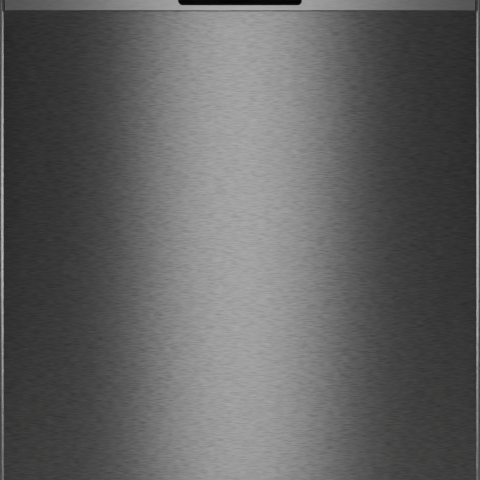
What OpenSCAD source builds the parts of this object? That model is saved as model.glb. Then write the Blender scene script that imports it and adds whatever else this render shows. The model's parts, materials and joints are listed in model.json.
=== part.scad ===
// Built-in dishwasher for a 600 mm niche: steel tub, fold-down door, two wire racks and three spray arms.
// X runs to the right, Y to the back and Z up; the origin is on the floor, under the middle of the machine.

/* [Overall size] */
// Width over the side panels
appliance_w = 598; // [500:1:720]
// Height with the feet wound right in
appliance_h = 815; // [760:1:980]
// Depth from the door's front to the back panel
appliance_d = 573; // [540:1:690]

/* [Door] */
// Space between the door and each side of the niche line
door_side_gap = 2; // [1:0.5:5]
// Height of the toe space under the door
toe_h = 98; // [82:1:130]
// Height of the control fascia
fascia_h = 112.8; // [100:0.1:140]
// Joint between the fascia and the outer panel
shadow_gap = 0.6; // [0.5:0.1:3]
// Thickness of the outer steel sheet
skin_t = 1; // [0.8:0.1:1.5]
// Depth of the folded edges of the outer panel
panel_fold = 20; // [15:1:24]
// Radius of the outer panel's bent edges
panel_edge_r = 3; // [1.5:0.5:4]

/* [Grip and controls] */
// Width of the grip opening
grip_w = 154.5; // [120:0.5:186]
// Height of the grip opening
grip_h = 45; // [36:0.5:52]
// Corner radius of the grip opening
grip_r = 6; // [3:0.5:10]
// Depth of the grip cup
grip_depth = 30; // [20:1:34]
// Steel left under the grip opening
grip_sill = 6.3; // [5:0.1:10]
// Width of the display window
display_w = 120; // [90:1:144]
// Height of the display window
display_h = 26; // [18:1:30]
// Width of a push key
key_w = 16; // [12:1:20]
// Height of a push key
key_h = 8; // [6:1:10]
// Travel of a push key
key_travel = 1.2; // [0.8:0.1:1.5]

/* [Tub] */
// Sheet thickness of the tub
tub_t = 1.5; // [1:0.1:2]
// Radius of the tub's long edges
tub_r = 14; // [8:1:20]
// Space between the tub and the outside of each side panel
tub_side_gap = 31; // [29:1:38]
// Space above the tub
tub_top_gap = 20; // [18:1:24]
// Space behind the tub
tub_back_gap = 40.5; // [36:0.5:50]
// Height of the tub floor above the hinge axis
floor_rise = 30; // [28:1:34]

/* [Racks] */
// Radius of the thick rack wires
wire_r = 2.2; // [1.8:0.1:2.6]
// Radius of the thin rack wires and tines
tine_r = 1.6; // [1.2:0.1:1.9]
// Spacing of the wires and tines
wire_pitch = 35; // [30:1:42]
// Height of the lower rack's walls
lower_rack_h = 128; // [110:1:140]
// Height of the upper rack's walls
upper_rack_h = 105; // [90:1:120]
// Height of the folding tines
tine_h = 88; // [75:1:95]
// Radius of the lower rack's wheels
wheel_r = 17; // [14:0.5:19]
// Width of the lower rack's wheels
wheel_w = 11; // [8:0.5:12]
// Height of the upper rack's floor above the tub floor
upper_rack_rise = 320; // [300:1:350]

/* [Water system] */
// Reach of the two long spray arms from their hub
arm_r = 206; // [170:1:206]
// Reach of the ceiling spray arm
ceiling_arm_r = 95; // [60:1:120]
// Thickness of a spray arm
arm_t = 12; // [8:1:14]
// Radius of the spray arm pivots
pivot_r = 8; // [6:0.5:10]
// Radius of the filter cylinder
filter_r = 38; // [30:1:42]
// Radius of the flat filter
filter_plate_r = 112; // [94:1:120]
// Radius of the salt cap
salt_cap_r = 36; // [28:1:40]

// Height by which the upper rack can be raised
rack_lift = 50; // [20:1:60]

/* [Hinges and feet] */
// Radius of the hinge pins
hinge_pin_r = 4; // [3:0.5:5]
// Running clearance of a pin in its bore
pin_play = 0.05; // [0.03:0.01:0.08]
// Thickness of the hinge arms and brackets
hinge_t = 3; // [2:0.5:3.5]
// Radius of a foot's pad
foot_r = 22; // [16:1:26]
// Radius of a foot's screw
foot_screw_r = 6; // [5:0.5:7]
// How far a foot winds out
foot_travel = 60; // [40:1:60]

/* [Hidden] */
$fn = 48;

// Main planes
half_w = appliance_w / 2;
y_front = -appliance_d / 2;
y_back = appliance_d / 2;
gap = 0.3;                     // space left between pieces that would otherwise touch
sheet_t = 1;                   // cabinet sheet

// Door, from the floor up
door_half_w = half_w - door_side_gap;
door_top = appliance_h - 3;
fascia_bottom = door_top - fascia_h;
panel_top = fascia_bottom - shadow_gap;
hinge_y = y_front + 16.5;
hinge_z = toe_h + 22;
liner_rise = 48;               // hinge axis to the liner's face
liner_y = hinge_y + liner_rise;
flange_y = liner_y - 14;       // front plane of the tub
rim_y = flange_y - 10;         // back of the door's rim

// Tub
tub_half_w = half_w - tub_side_gap;
tub_floor = hinge_z + floor_rise;
tub_top = appliance_h - tub_top_gap;
tub_back = y_back - tub_back_gap;
flange_half_w = half_w - 7;
flange_drop = 14;
flange_top = appliance_h - 5;

// Liner pan that fills the tub's mouth
pan_half_w = tub_half_w - 6;
pan_bottom = tub_floor + 3;
pan_top = tub_top - 9;
pan_r = 18;
rim_half_w = door_half_w - 6;
rim_bottom = hinge_z + 8;
rim_top = door_top - 4;

// Base
base_half_w = tub_half_w + 2;
base_front = flange_y + 12;
base_back = y_back - 18;
port_reach = 14;                // how far the ports stand out of the base
base_bottom = 28;
base_top = tub_floor - 12;
base_t = 3;
plinth_t = 1.5;
bracket_spacing = 2 * (half_w - 99);

// Hinges
bracket_x = base_half_w + 0.2;
arm_x = bracket_x + hinge_t + 4;
lever_l = 33;
spring_r = 5.5;
spring_run = 110;
spring_drop = 55;
plinth_top = toe_h - 6;

// Spray system
hub_y = (liner_y + tub_back) / 2;
filter_y = hub_y - 80;
plate_y = hub_y - 48;
arm_z = tub_floor + 24;
pipe_t = 12;
pipe_half_w = 18;
pipe_y = tub_back - 14;
ceiling_z = tub_top - 14;
inlet_x = -(base_half_w - 60);
mains_x = base_half_w - 60;
port_z = base_bottom + 60;
sump_neck_r = filter_r + 10;
drain_pump_r = 22;
drain_spigot_r = 10.5;
drain_x = -(sump_neck_r + 0.6 + drain_pump_r);
drain_out_x = drain_x - 30;
pump_y = filter_y;
pump_z = base_bottom + 48;
pump_x = sump_neck_r + 66;
pump_chamber_r = 32;
salt_x = -(tub_half_w - 82);
salt_y = hub_y - 90;

// Racks
rack_half_w = tub_half_w - 28;
rack_front = liner_y + 14;
rack_back = pipe_y - 12;
rail_top = hinge_z + liner_rise + 1;
wheel_z = rail_top + wheel_r + 0.2;
lower_floor = wheel_z + wheel_r;
upper_floor = tub_floor + upper_rack_rise;
slide_z = upper_floor + 112;
slide_half_h = 17;
slide_front = liner_y + 8;
slide_back = pipe_y + 2;
wheel_gauge = tub_half_w - 6 - wheel_w;
wheel_pin_r = 4;
front_wheel_y = rack_front + 78;
rear_wheel_y = rack_back - 40;
upper_arm_z = upper_floor - 26;
rack_step = 2 * wire_r + 0.1;
tine_gap = rack_half_w / 4;
fold_x = -1.9 * tine_gap;
fold_z = lower_floor + 2 * rack_step + 0.4;
shelf_x = -rack_half_w + 10;
shelf_z = upper_floor + upper_rack_h - 20;
basket_w = 84;
basket_h = 125;
basket_left = rack_half_w - 10 - basket_w;
basket_front = rack_front + 12;
basket_l = 240;
cell_n = 3;
basket_z = lower_floor + rack_step + wire_r + 0.4;

// Door fittings
grip_bottom = fascia_bottom + grip_sill;
display_z = grip_bottom + grip_h + 12;
key_z = display_z + display_h / 2;
cover_inset = 4.2;
groove_w = 1.2;
disp_bottom = lower_floor + 138;
disp_h = 96;
disp_half_w = 92;
well_w = 80;
well_h = 74;
well_x = -disp_half_w + 8;
well_z = disp_bottom + (disp_h - well_h) / 2;
cap_x = disp_half_w - 38;
cap_z = disp_bottom + disp_h / 2 + 6;
cap_r = 19;
key_xs = [-(half_w - 36), half_w - 36, -(half_w - 88)];
latch_y = rim_y - 16;
latch_z = door_top - 12;
strike_z = latch_z + 3.4;
strike_t = 1.6;
screw_x = rim_half_w - 4.2;
screw_zs = spaced(hinge_z + 130, panel_top - 30, 130);

// Helpers

// A box given by its lowest and highest corners
module block(low, high) translate(low) cube(high - low);

// A flat outline drawn in X and Z, pulled from y0 to y1
module along_y(y0, y1) translate([0, y1, 0]) rotate([90, 0, 0]) linear_extrude(y1 - y0) children();

// A flat outline drawn in Y and Z, pulled from x0 to x1
module along_x(x0, x1) translate([x0, 0, 0]) rotate([90, 0, 90]) linear_extrude(x1 - x0) children();

// A flat outline drawn in X and Y, pulled from z0 to z1
module along_z(z0, z1) translate([0, 0, z0]) linear_extrude(z1 - z0) children();

// A rectangle with round corners
module rounded(low, high, r) {
    translate([low.x + r, low.y]) square([high.x - low.x - 2 * r, high.y - low.y]);
    translate([low.x, low.y + r]) square([high.x - low.x, high.y - low.y - 2 * r]);
    for (x = [low.x + r, high.x - r], y = [low.y + r, high.y - r]) translate([x, y]) circle(r);
}

// Straight wires along each axis
module wire_x(x0, x1, y, z, r) translate([x0, y, z]) rotate([0, 90, 0]) cylinder(r = r, h = x1 - x0, $fn = 20);
module wire_y(x, y0, y1, z, r) translate([x, y1, z]) rotate([90, 0, 0]) cylinder(r = r, h = y1 - y0, $fn = 20);
module wire_z(x, y, z0, z1, r) translate([x, y, z0]) cylinder(r = r, h = z1 - z0, $fn = 20);

// The same piece on the right and, mirrored, on the left
module both_sides() {
    children();
    mirror([1, 0, 0]) children();
}

// A row of evenly spaced places from a to b, about pitch apart
function spaced(a, b, pitch) = let (n = max(1, round((b - a) / pitch))) [for (i = [0:n]) a + (b - a) * i / n];

// Cabinet

module base_pan() color([0.12, 0.12, 0.13]) difference() {
    union() {
        difference() {
            block([-base_half_w, base_front, base_bottom], [base_half_w, base_back, base_top]);
            block([-base_half_w + base_t, base_front + base_t, base_bottom + base_t],
                [base_half_w - base_t, base_back - base_t, base_top + 1]);
        }
        for (p = foot_places()) translate([p.x, p.y, base_bottom + base_t / 2])
            cylinder(r = foot_screw_r + 8, h = 60);
    }
    for (p = foot_places()) translate([p.x, p.y, 0]) cylinder(r = foot_screw_r + pin_play, h = 120);
    // openings in the back wall for the water inlet, the drain and the mains inlet
    for (x = [inlet_x, drain_out_x]) along_y(base_back - base_t - 1, base_back + 1)
        translate([x, port_z]) circle(17);
    block([mains_x - 17, base_back - base_t - 1, port_z - 13], [mains_x + 17, base_back + 1, port_z + 13]);
}

function foot_places() = [
    [-(base_half_w - 40), base_front + 34],
    [base_half_w - 40, base_front + 34],
    [0, base_back - 34]];

module tub() color([0.72, 0.73, 0.74]) difference() {
    union() {
        along_y(flange_y + 0.1, tub_back + tub_t)
            rounded([-tub_half_w - tub_t, tub_floor - tub_t], [tub_half_w + tub_t, tub_top + tub_t], tub_r + tub_t);
        along_y(flange_y, flange_y + tub_t)
            rounded([-flange_half_w, tub_floor - flange_drop], [flange_half_w, flange_top], 4);
    }
    along_y(flange_y - 1, tub_back)
        rounded([-tub_half_w, tub_floor], [tub_half_w, tub_top], tub_r);
    translate([0, plate_y, tub_floor - 10]) cylinder(r = filter_plate_r - 6, h = 20);
    translate([salt_x, salt_y, tub_floor - 10]) cylinder(r = salt_cap_r - 4, h = 20);
}

module tub_insulation() color([0.16, 0.16, 0.17]) difference() {
    t = 9;
    along_y(flange_y + 12, tub_back + tub_t + t) difference() {
        rounded([-tub_half_w - tub_t - t, tub_floor + 12], [tub_half_w + tub_t + t, tub_top + tub_t + t], tub_r + t);
        translate([-tub_half_w, tub_floor]) square([2 * tub_half_w, 14]);
    }
    along_y(flange_y + 11, tub_back + tub_t + gap)
        rounded([-tub_half_w - tub_t - gap, tub_floor - 20], [tub_half_w + tub_t + gap, tub_top + tub_t + gap],
            tub_r + tub_t);
}

module side_panel() color([0.30, 0.30, 0.31])
    block([half_w - sheet_t, flange_y + 2, toe_h], [half_w, y_back - gap, appliance_h - 1.6]);

module left_side_panel() mirror([1, 0, 0]) side_panel();

module right_side_panel() side_panel();

module back_panel() color([0.62, 0.63, 0.64]) difference() {
    block([-half_w + 1.5, y_back - gap - sheet_t - gap, base_top + 4],
        [half_w - 1.5, y_back, appliance_h - 1.8]);
    block([-half_w + 4, y_back - 3, base_top + 7], [half_w - 4, y_back - sheet_t, appliance_h - 5]);
}

module top_cover() color([0.62, 0.63, 0.64])
    block([-half_w, flange_y, appliance_h - 1.4], [half_w, y_back, appliance_h]);

module worktop_brackets() color([0.75, 0.76, 0.77]) for (side = [-1, 1])
    translate([side * bracket_spacing / 2, 0, 0]) difference() {
        union() {
            block([-22, flange_y - 24, appliance_h - 1.4], [22, flange_y - gap, appliance_h]);
            block([-22, flange_y - 1.9, flange_top + 0.6], [22, flange_y - gap, appliance_h - 0.5]);
        }
        translate([0, flange_y - 14, appliance_h - 5]) cylinder(r = 2.5, h = 10);
    }

module door_gasket() color([0.10, 0.10, 0.10]) along_y(rim_y + gap, flange_y - 0.1) difference() {
    rounded([-tub_half_w - 15, tub_floor - 6], [tub_half_w + 15, tub_top + 6.5], 12);
    rounded([-tub_half_w - 4, tub_floor - 20], [tub_half_w + 4, tub_top + 1], 10);
    translate([-tub_half_w - 16, tub_floor - 20]) square([2 * tub_half_w + 32, 22]);
}

module plinth_panel() color([0.13, 0.13, 0.14]) difference() {
    low = [-half_w + 4, base_front - 14, 6];
    block(low, [-low.x, base_front - gap, plinth_top]);
    block(low + plinth_t * [1, 1, 1], [-low.x - plinth_t, base_front + 1, plinth_top - plinth_t]);
}

// Bracket that is screwed to the side of the base and carries the hinge pin and the spring's lower pin
module hinge_bracket() color([0.70, 0.71, 0.72]) {
    along_x(bracket_x, bracket_x + hinge_t) {
        translate([hinge_y, hinge_z]) circle(11);
        translate([hinge_y, hinge_z - 11]) square([spring_run + 12, 16]);
        translate([base_front + 2, hinge_z - spring_drop - 8])
            square([hinge_y + spring_run + 12 - base_front - 2, spring_drop + 10]);
    }
    along_x(bracket_x + hinge_t / 2, arm_x + hinge_t + 3) translate([hinge_y, hinge_z]) circle(hinge_pin_r);
    along_x(arm_x + hinge_t + gap, arm_x + hinge_t + 3) translate([hinge_y, hinge_z]) circle(hinge_pin_r + 4);
    along_x(bracket_x + hinge_t / 2, arm_x + hinge_t + 3) translate(spring_foot()) circle(2.5);
}

function spring_foot() = [hinge_y + spring_run, hinge_z - spring_drop];
function spring_head() = [hinge_y + lever_l - 6, hinge_z];

module hinge_brackets() both_sides() hinge_bracket();

// Tension spring from the lever of the hinge arm to the lower pin of the bracket
module door_spring() {
    run = spring_foot() - spring_head();
    length = norm(run);
    color([0.55, 0.56, 0.58]) translate([arm_x + hinge_t / 2, spring_head().x, spring_head().y])
        rotate([atan2(run.x, -run.y), 0, 0]) mirror([0, 0, 1]) {
            translate([0, 0, 8]) difference() {
                cylinder(r = spring_r, h = length - 14);
                translate([0, 0, -1]) cylinder(r = spring_r - 1.6, h = length - 12);
            }
        }
}

module door_springs() both_sides() door_spring();

// Water system under the tub

module sump() color([0.20, 0.20, 0.21]) {
    pot_r = filter_plate_r - 8;
    difference() {
        union() {
            translate([0, plate_y, tub_floor - 32]) cylinder(r = pot_r, h = 30 - gap);
            translate([0, plate_y, tub_floor - 6]) cylinder(r = filter_plate_r + 6, h = 4 - gap);
            translate([0, filter_y, tub_floor - 88]) cylinder(r = sump_neck_r, h = 60);
        }
        translate([0, plate_y, tub_floor - 29]) cylinder(r = pot_r - 3, h = 40);
        translate([0, filter_y, tub_floor - 85]) cylinder(r = filter_r + 7, h = 70);
    }
    // column that carries the lower spray arm
    translate([0, hub_y, tub_floor - 30]) cylinder(r = 17, h = 30 + 22);
    translate([0, hub_y, tub_floor + 20]) cylinder(r = pivot_r, h = arm_t + 8);
    translate([0, hub_y, arm_z + arm_t + 0.6]) cylinder(r = pivot_r + 5, h = 4);
}

module filter_plate() color([0.76, 0.77, 0.78]) difference() {
    translate([0, plate_y, tub_floor + 0.1]) cylinder(r = filter_plate_r, h = 1.6);
    translate([0, filter_y, tub_floor - 1]) cylinder(r = filter_r + 1, h = 5);
    translate([0, hub_y, tub_floor - 1]) cylinder(r = 17.6, h = 5);
}

// Pump with the flow heater in its housing; its spindle lies along X

module circulation_pump() color([0.16, 0.17, 0.18]) {
    difference() {
        union() {
            along_x(pump_x - 26, pump_x + 14) translate([pump_y, pump_z]) circle(pump_chamber_r + 4);
            along_x(pump_x + 12, pump_x + 62) translate([pump_y, pump_z]) circle(27);
            along_x(sump_neck_r + 0.6, pump_x - 24) translate([pump_y, pump_z]) circle(15);
            translate([pump_x - 6, pump_y, pump_z]) cylinder(r = 11, h = tub_floor - 32.6 - pump_z);
        }
        along_x(pump_x - 22, pump_x + 8) translate([pump_y, pump_z]) circle(pump_chamber_r);
        along_x(sump_neck_r - 1, pump_x - 20) translate([pump_y, pump_z]) circle(12);
        translate([pump_x - 6, pump_y, pump_z]) cylinder(r = 8, h = 80);
    }
    along_x(pump_x - 10, pump_x + 9) translate([pump_y, pump_z]) circle(4);
    along_x(pump_x + 5, pump_x + 9) translate([pump_y, pump_z]) circle(10);
}

module pump_impeller() color([0.85, 0.85, 0.83]) along_x(pump_x - 12, pump_x + 4)
    translate([pump_y, pump_z]) difference() {
        union() {
            circle(11);
            for (a = [0:60:300]) rotate(a) translate([8, -1.5]) square([20, 3]);
        }
        circle(4 + pin_play);
    }

// Drain pump beside the sump's neck, with its outlet pipe to the back
module drain_pump() color([0.22, 0.23, 0.25]) {
    difference() {
        union() {
            along_y(filter_y - 10, filter_y + 16) translate([drain_x, port_z]) circle(drain_pump_r);
            block([drain_out_x, filter_y - 10, port_z - 10], [drain_x, filter_y + 16, port_z + 10]);
            along_y(filter_y - 10, base_back + 1) translate([drain_out_x, port_z]) circle(drain_spigot_r - 0.7);
            along_y(base_back, base_back + port_reach) translate([drain_out_x, port_z]) circle(drain_spigot_r);
        }
        along_y(filter_y - 4, base_back + port_reach + 1) translate([drain_out_x, port_z]) circle(8);
    }
    along_y(filter_y + 15, filter_y + 58) translate([drain_x, port_z]) circle(17);
}

module water_softener() color([0.86, 0.86, 0.84]) difference() {
    union() {
        along_z(base_bottom + base_t + 1, tub_floor - 22)
            rounded([salt_x - 62, salt_y - 50], [salt_x + 66, salt_y + 110], 14);
        translate([salt_x, salt_y, tub_floor - 30]) cylinder(r = salt_cap_r - 5, h = 30);
    }
    translate([salt_x, salt_y, base_bottom + 12]) cylinder(r = salt_cap_r - 12, h = 200);
}

module salt_cap() color([0.80, 0.80, 0.78]) {
    translate([salt_x, salt_y, tub_floor + gap]) cylinder(r = salt_cap_r, h = 9);
    translate([salt_x, salt_y, tub_floor + 8]) for (a = [0, 90]) rotate(a)
        translate([-salt_cap_r + 6, -3, 0]) cube([2 * salt_cap_r - 12, 6, 6]);
    translate([salt_x, salt_y, tub_floor - 12]) cylinder(r = salt_cap_r - 12.5, h = 14);
}

// Flat ducts from the sump column, up the back of the tub and along its ceiling, plugged end to end
module water_feed_pipe() color([0.78, 0.79, 0.80]) {
    floor_z = tub_floor + 2.2;
    ceiling = tub_top - gap - 0.2;
    joint = 0.05;
    block([-pipe_half_w, hub_y + 17 + gap, floor_z], [pipe_half_w, pipe_y - joint, floor_z + pipe_t]);
    block([-pipe_half_w, pipe_y, floor_z], [pipe_half_w, pipe_y + pipe_t, ceiling]);
    block([-pipe_half_w, hub_y - 16, tub_top - pipe_t], [pipe_half_w, pipe_y - joint, ceiling]);
    // nozzles that feed the upper arm at the rack's two heights
    for (lift = [0, rack_lift]) along_y(pipe_y - 5, pipe_y - joint)
        translate([0, upper_floor + lift - wire_r - gap - 5]) circle(4.5);
    translate([0, hub_y, ceiling_z - 16]) cylinder(r = pivot_r - 1, h = 16 + ceiling_z - tub_top + 2 * pipe_t);
    translate([0, hub_y, ceiling_z - 16.5]) cylinder(r = pivot_r + 4, h = 4);
}

// Two-port solenoid valve with the threaded inlet for the supply hose
module inlet_valve() color([0.90, 0.90, 0.88]) {
    y = base_back - 62;
    along_y(y, base_back - base_t - 2) translate([inlet_x, port_z]) rounded([-20, -18], [20, 18], 4);
    along_y(base_back - base_t - 3, base_back + port_reach) translate([inlet_x, port_z]) difference() {
        circle(13.2);
        circle(9);
    }
    translate([inlet_x, y + 24, port_z + 16]) cylinder(r = 13, h = 22);
}

// Socket for the mains lead
module mains_inlet() color([0.08, 0.08, 0.09]) difference() {
    block([mains_x - 16, base_back - 30, port_z - 12], [mains_x + 16, base_back + 1, port_z + 12]);
    block([mains_x - 12, base_back - 22, port_z - 8], [mains_x + 12, base_back + 2, port_z + 8]);
}

// Plate on the tub's front edge that reaches into the door, with a window for the latch

module door_strike() color([0.80, 0.80, 0.82]) {
    block([-20, flange_y - 1.9, strike_z], [20, flange_y - 0.1, strike_z + 9]);
    difference() {
        block([-12, latch_y - 3, strike_z], [12, flange_y - 0.2, strike_z + strike_t]);
        block([-7, latch_y + 1, strike_z - 1], [7, latch_y + 10, strike_z + 3]);
    }
}

// Racks' rails

module lower_rails() color([0.75, 0.76, 0.77]) both_sides()
    block([wheel_gauge - 1, slide_front, rail_top - 3], [tub_half_w - gap, slide_back, rail_top]);

module upper_rails() color([0.78, 0.79, 0.80]) both_sides() along_y(slide_front, slide_back) {
    x = tub_half_w - gap;
    translate([x - 2, slide_z - slide_half_h]) square([2, 2 * slide_half_h]);
    for (z = [slide_z - slide_half_h, slide_z + slide_half_h - 2]) translate([x - 11, z]) square([10, 2]);
}

module rail_sliders() color([0.70, 0.71, 0.72]) both_sides() along_y(slide_front, slide_back) {
    x = tub_half_w - gap - 3;
    half_h = slide_half_h - 3;
    translate([x - 1.5, slide_z - half_h]) square([1.5, 2 * half_h]);
    for (z = [slide_z - half_h, slide_z + half_h - 2]) translate([x - 6, z]) square([5, 2]);
}

// Inner rail members and the hangers that hold the upper rack
module rack_carriers() color([0.62, 0.63, 0.65]) both_sides() {
    x = tub_half_w - gap - 5.5;
    block([x - 7, slide_front, slide_z - slide_half_h + 6], [x, slide_back, slide_z + slide_half_h - 6]);
    for (y = [hub_y - 90, hub_y + 90])
        block([rack_half_w + wire_r + 1.2, y - 26, slide_z - 34], [x - 6.9, y + 26, slide_z + 10]);
}

// A rack of crossed wires: floor wires, wall wires and hoops, each a rod of its own
module rack_wires(floor_z, wall_h, front_h) {
    xs = spaced(-rack_half_w, rack_half_w, 2 * wire_pitch);
    ys = spaced(rack_front, rack_back, wire_pitch);
    low = floor_z + rack_step;
    for (y = ys) wire_x(-rack_half_w - wire_r, rack_half_w + wire_r, y, floor_z, wire_r);
    for (x = xs) wire_y(x, rack_front - wire_r, rack_back + wire_r, low, wire_r);
    for (y = ys) if (y > rack_front + 1 && y < rack_back - 1) for (side = [-1, 1])
        wire_z(side * rack_half_w, y, floor_z + wire_r + 0.05, floor_z + wall_h - wire_r - 0.05, tine_r);
    for (x = xs) if (abs(x) < rack_half_w - 1) {
        wire_z(x, rack_front, low + wire_r + 0.05, floor_z + front_h - wire_r - 0.05, tine_r);
        wire_z(x, rack_back, low + wire_r + 0.05, floor_z + wall_h - wire_r - 0.05, tine_r);
    }
    for (side = [-1, 1]) {
        wire_y(side * rack_half_w, rack_front + wire_r + 0.1, rack_back - wire_r - 0.1, floor_z + wall_h, wire_r);
        wire_z(side * rack_half_w, rack_front, low + wire_r + 0.05, floor_z + wall_h, wire_r);
        wire_z(side * rack_half_w, rack_back, low + wire_r + 0.05, floor_z + wall_h, wire_r);
    }
    inner = rack_half_w - wire_r - 0.1;
    wire_x(-inner, inner, rack_back, floor_z + wall_h, wire_r);
    wire_x(-inner, inner, rack_front, floor_z + front_h, wire_r);
}

// Rows of tines that stand on the rack's floor wires
module tine_rows(floor_z, xs, h) {
    ys = spaced(rack_front, rack_back, wire_pitch);
    for (x = xs, y = ys) if (y > rack_front + 20 && y < rack_back - 20)
        wire_z(x, y, floor_z + wire_r + 0.05, floor_z + h, tine_r);
}

module lower_rack() color([0.55, 0.56, 0.58]) {
    rack_wires(lower_floor, lower_rack_h, lower_rack_h - 25);
    tine_rows(lower_floor, [-3 * tine_gap, -0.9 * tine_gap], tine_h);
    // wheel axles and the plates that hold them
    both_sides() for (y = [front_wheel_y, rear_wheel_y]) {
        along_x(rack_half_w - 8, wheel_gauge + wheel_w - 1) translate([y, wheel_z]) circle(wheel_pin_r);
        block([rack_half_w - 9, y - 9, wheel_z - 7], [rack_half_w - 5, y + 9, lower_floor - wire_r - 0.1]);
    }
    // grip on the front wall
    along_y(rack_front - wire_r - 3.1, rack_front - wire_r - 0.1)
        rounded([-70, lower_floor + lower_rack_h - 52], [70, lower_floor + lower_rack_h - 24], 8);
}

module rack_wheels(y) color([0.50, 0.51, 0.53]) both_sides()
    along_x(wheel_gauge, wheel_gauge + wheel_w - 1.4) translate([y, wheel_z]) difference() {
        circle(wheel_r);
        circle(wheel_pin_r + pin_play);
    }

module front_wheels() rack_wheels(front_wheel_y);

module rear_wheels() rack_wheels(rear_wheel_y);

// One row of tines on its own rod, which folds flat to the left

module lower_tines() color([0.42, 0.43, 0.45]) {
    ys = spaced(rack_front, rack_back, wire_pitch);
    n = len(ys);
    wire_y(fold_x, ys[1] + wire_pitch / 4, ys[n - 2] - wire_pitch / 4, fold_z, wire_r);
    for (i = [1:n - 3]) wire_z(fold_x, (ys[i] + ys[i + 1]) / 2, fold_z + wire_r + 0.05, fold_z + tine_h, tine_r);
}

// Cutlery basket: a box of six cells with a carrying handle

module cutlery_basket() color([0.45, 0.46, 0.48]) {
    wall = 2;
    cell_l = (basket_l - wall) / cell_n - wall;
    cell_w = (basket_w - wall) / 2 - wall;
    translate([basket_left, basket_front, basket_z]) {
        difference() {
            cube([basket_w, basket_l, basket_h]);
            for (i = [0:cell_n - 1], j = [0, 1])
                translate([wall + j * (cell_w + wall), wall + i * (cell_l + wall), wall])
                    cube([cell_w, cell_l, basket_h]);
        }
        // handle arch on the middle wall
        translate([basket_w / 2, basket_l / 2, basket_h - 0.5]) {
            for (side = [-1, 1]) translate([-1, side * 50 - 4, 0]) cube([2, 8, 44]);
            translate([-5, -56, 44]) cube([10, 112, 8]);
        }
    }
}

module upper_rack() color([0.55, 0.56, 0.58]) {
    rack_wires(upper_floor, upper_rack_h, upper_rack_h - 20);
    tine_rows(upper_floor, [1.2 * tine_gap, 2.4 * tine_gap], 52);
    along_y(rack_front - wire_r - 3.1, rack_front - wire_r - 0.1)
        rounded([-80, upper_floor + upper_rack_h - 46], [80, upper_floor + upper_rack_h - 18], 8);
}

// Duct under the upper rack that takes water from the back to the arm's hub
module upper_spray_feed() color([0.35, 0.36, 0.38]) {
    top = upper_floor - wire_r - gap;
    along_z(top - 10, top) rounded([-14, hub_y - 20], [14, pipe_y - 6], 6);
    translate([0, hub_y, upper_arm_z - 6]) cylinder(r = pivot_r, h = top - 5 - upper_arm_z + 6);
    translate([0, hub_y, upper_arm_z - 7.6]) cylinder(r = pivot_r + 5, h = 4);
}

module cup_shelf() color([0.50, 0.51, 0.53]) {
    // folds up about its outer wire, along the left wall
    y0 = hub_y - 120;
    y1 = hub_y + 120;
    for (i = [0:4]) wire_y(shelf_x + i * 24, y0, y1, shelf_z, i == 0 ? wire_r : tine_r);
    for (y = spaced(y0 + 8, y1 - 8, 60))
        wire_x(shelf_x - 2, shelf_x + 98, y, shelf_z - wire_r - tine_r - 0.05, tine_r);
}

// Spray arms

// Two swept blades, a hub and a bore on the pivot
module spray_arm(z, reach, t, bore) difference() {
    union() {
        translate([0, hub_y, z]) cylinder(r = bore + 14, h = t);
        for (turn = [0, 180]) translate([0, hub_y, z]) rotate(turn) linear_extrude(t) {
            polygon([[0, -18], [reach * 0.55, -20], [reach - 14, -10], [reach - 14, 14],
                [reach * 0.55, 10], [0, 18]]);
            translate([reach - 14, 2]) circle(12);
        }
    }
    translate([0, hub_y, z - 1]) cylinder(r = bore, h = t + 2);
}

module lower_spray_arm() color([0.58, 0.59, 0.61]) spray_arm(arm_z, arm_r, arm_t, pivot_r + pin_play);

module upper_spray_arm() color([0.58, 0.59, 0.61])
    spray_arm(upper_arm_z - 3, arm_r, arm_t - 2, pivot_r + pin_play);

module ceiling_spray_arm() color([0.58, 0.59, 0.61])
    spray_arm(ceiling_z - 12, ceiling_arm_r, 10, pivot_r - 1 + pin_play);

module filter_cylinder() color([0.24, 0.25, 0.27]) {
    translate([0, filter_y, tub_floor - 78]) difference() {
        cylinder(r = filter_r, h = 82);
        translate([0, 0, 3]) cylinder(r = filter_r - 3, h = 90);
    }
    translate([0, filter_y, tub_floor + 3]) difference() {
        union() {
            translate([-filter_r + 2, -2, -20]) cube([2 * filter_r - 4, 4, 26]);
            translate([0, 0, 4]) cylinder(r = 10, h = 7);
        }
    }
}

// Feet: a pad and a screw

module foot(i) color([0.30, 0.30, 0.31]) translate([foot_places()[i].x, foot_places()[i].y, 0]) {
    cylinder(r = foot_r, h = 9);
    translate([0, 0, 8]) cylinder(r = foot_screw_r, h = 88);
}

module left_foot() foot(0);

module right_foot() foot(1);

module rear_foot() foot(2);

// Door

module door_outer_panel() color([0.22, 0.22, 0.23]) {
    difference() {
        along_z(toe_h, panel_top) {
            difference() {
                panel_section(0);
                panel_section(skin_t);
            }
        }
    }
    block([-door_half_w + skin_t, y_front + skin_t / 2, panel_top - skin_t],
        [door_half_w - skin_t, y_front + panel_fold - 4, panel_top]);
    block([-pan_half_w, y_front + skin_t / 2, toe_h], [pan_half_w, y_front + panel_fold, toe_h + skin_t]);
}

// Outline of the panel seen from above, moved in by a sheet's thickness
module panel_section(inset) {
    r = panel_edge_r - inset;
    w = door_half_w - inset;
    translate([-w + r, y_front + inset]) square([2 * (w - r), panel_fold]);
    translate([-w, y_front + inset + r]) square([2 * w, panel_fold - r - (inset > 0 ? -2 : inset)]);
    for (side = [-1, 1]) translate([side * (w - r), y_front + inset + r]) circle(max(r, 0.2));
}

module grip_outline(margin) rounded(
    [-grip_w / 2 - margin, grip_bottom - margin], [grip_w / 2 + margin, grip_bottom + grip_h + margin],
    grip_r + margin);

module display_outline(margin) rounded(
    [-display_w / 2 - margin, display_z - margin], [display_w / 2 + margin, display_z + display_h + margin],
    3 + margin);

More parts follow.
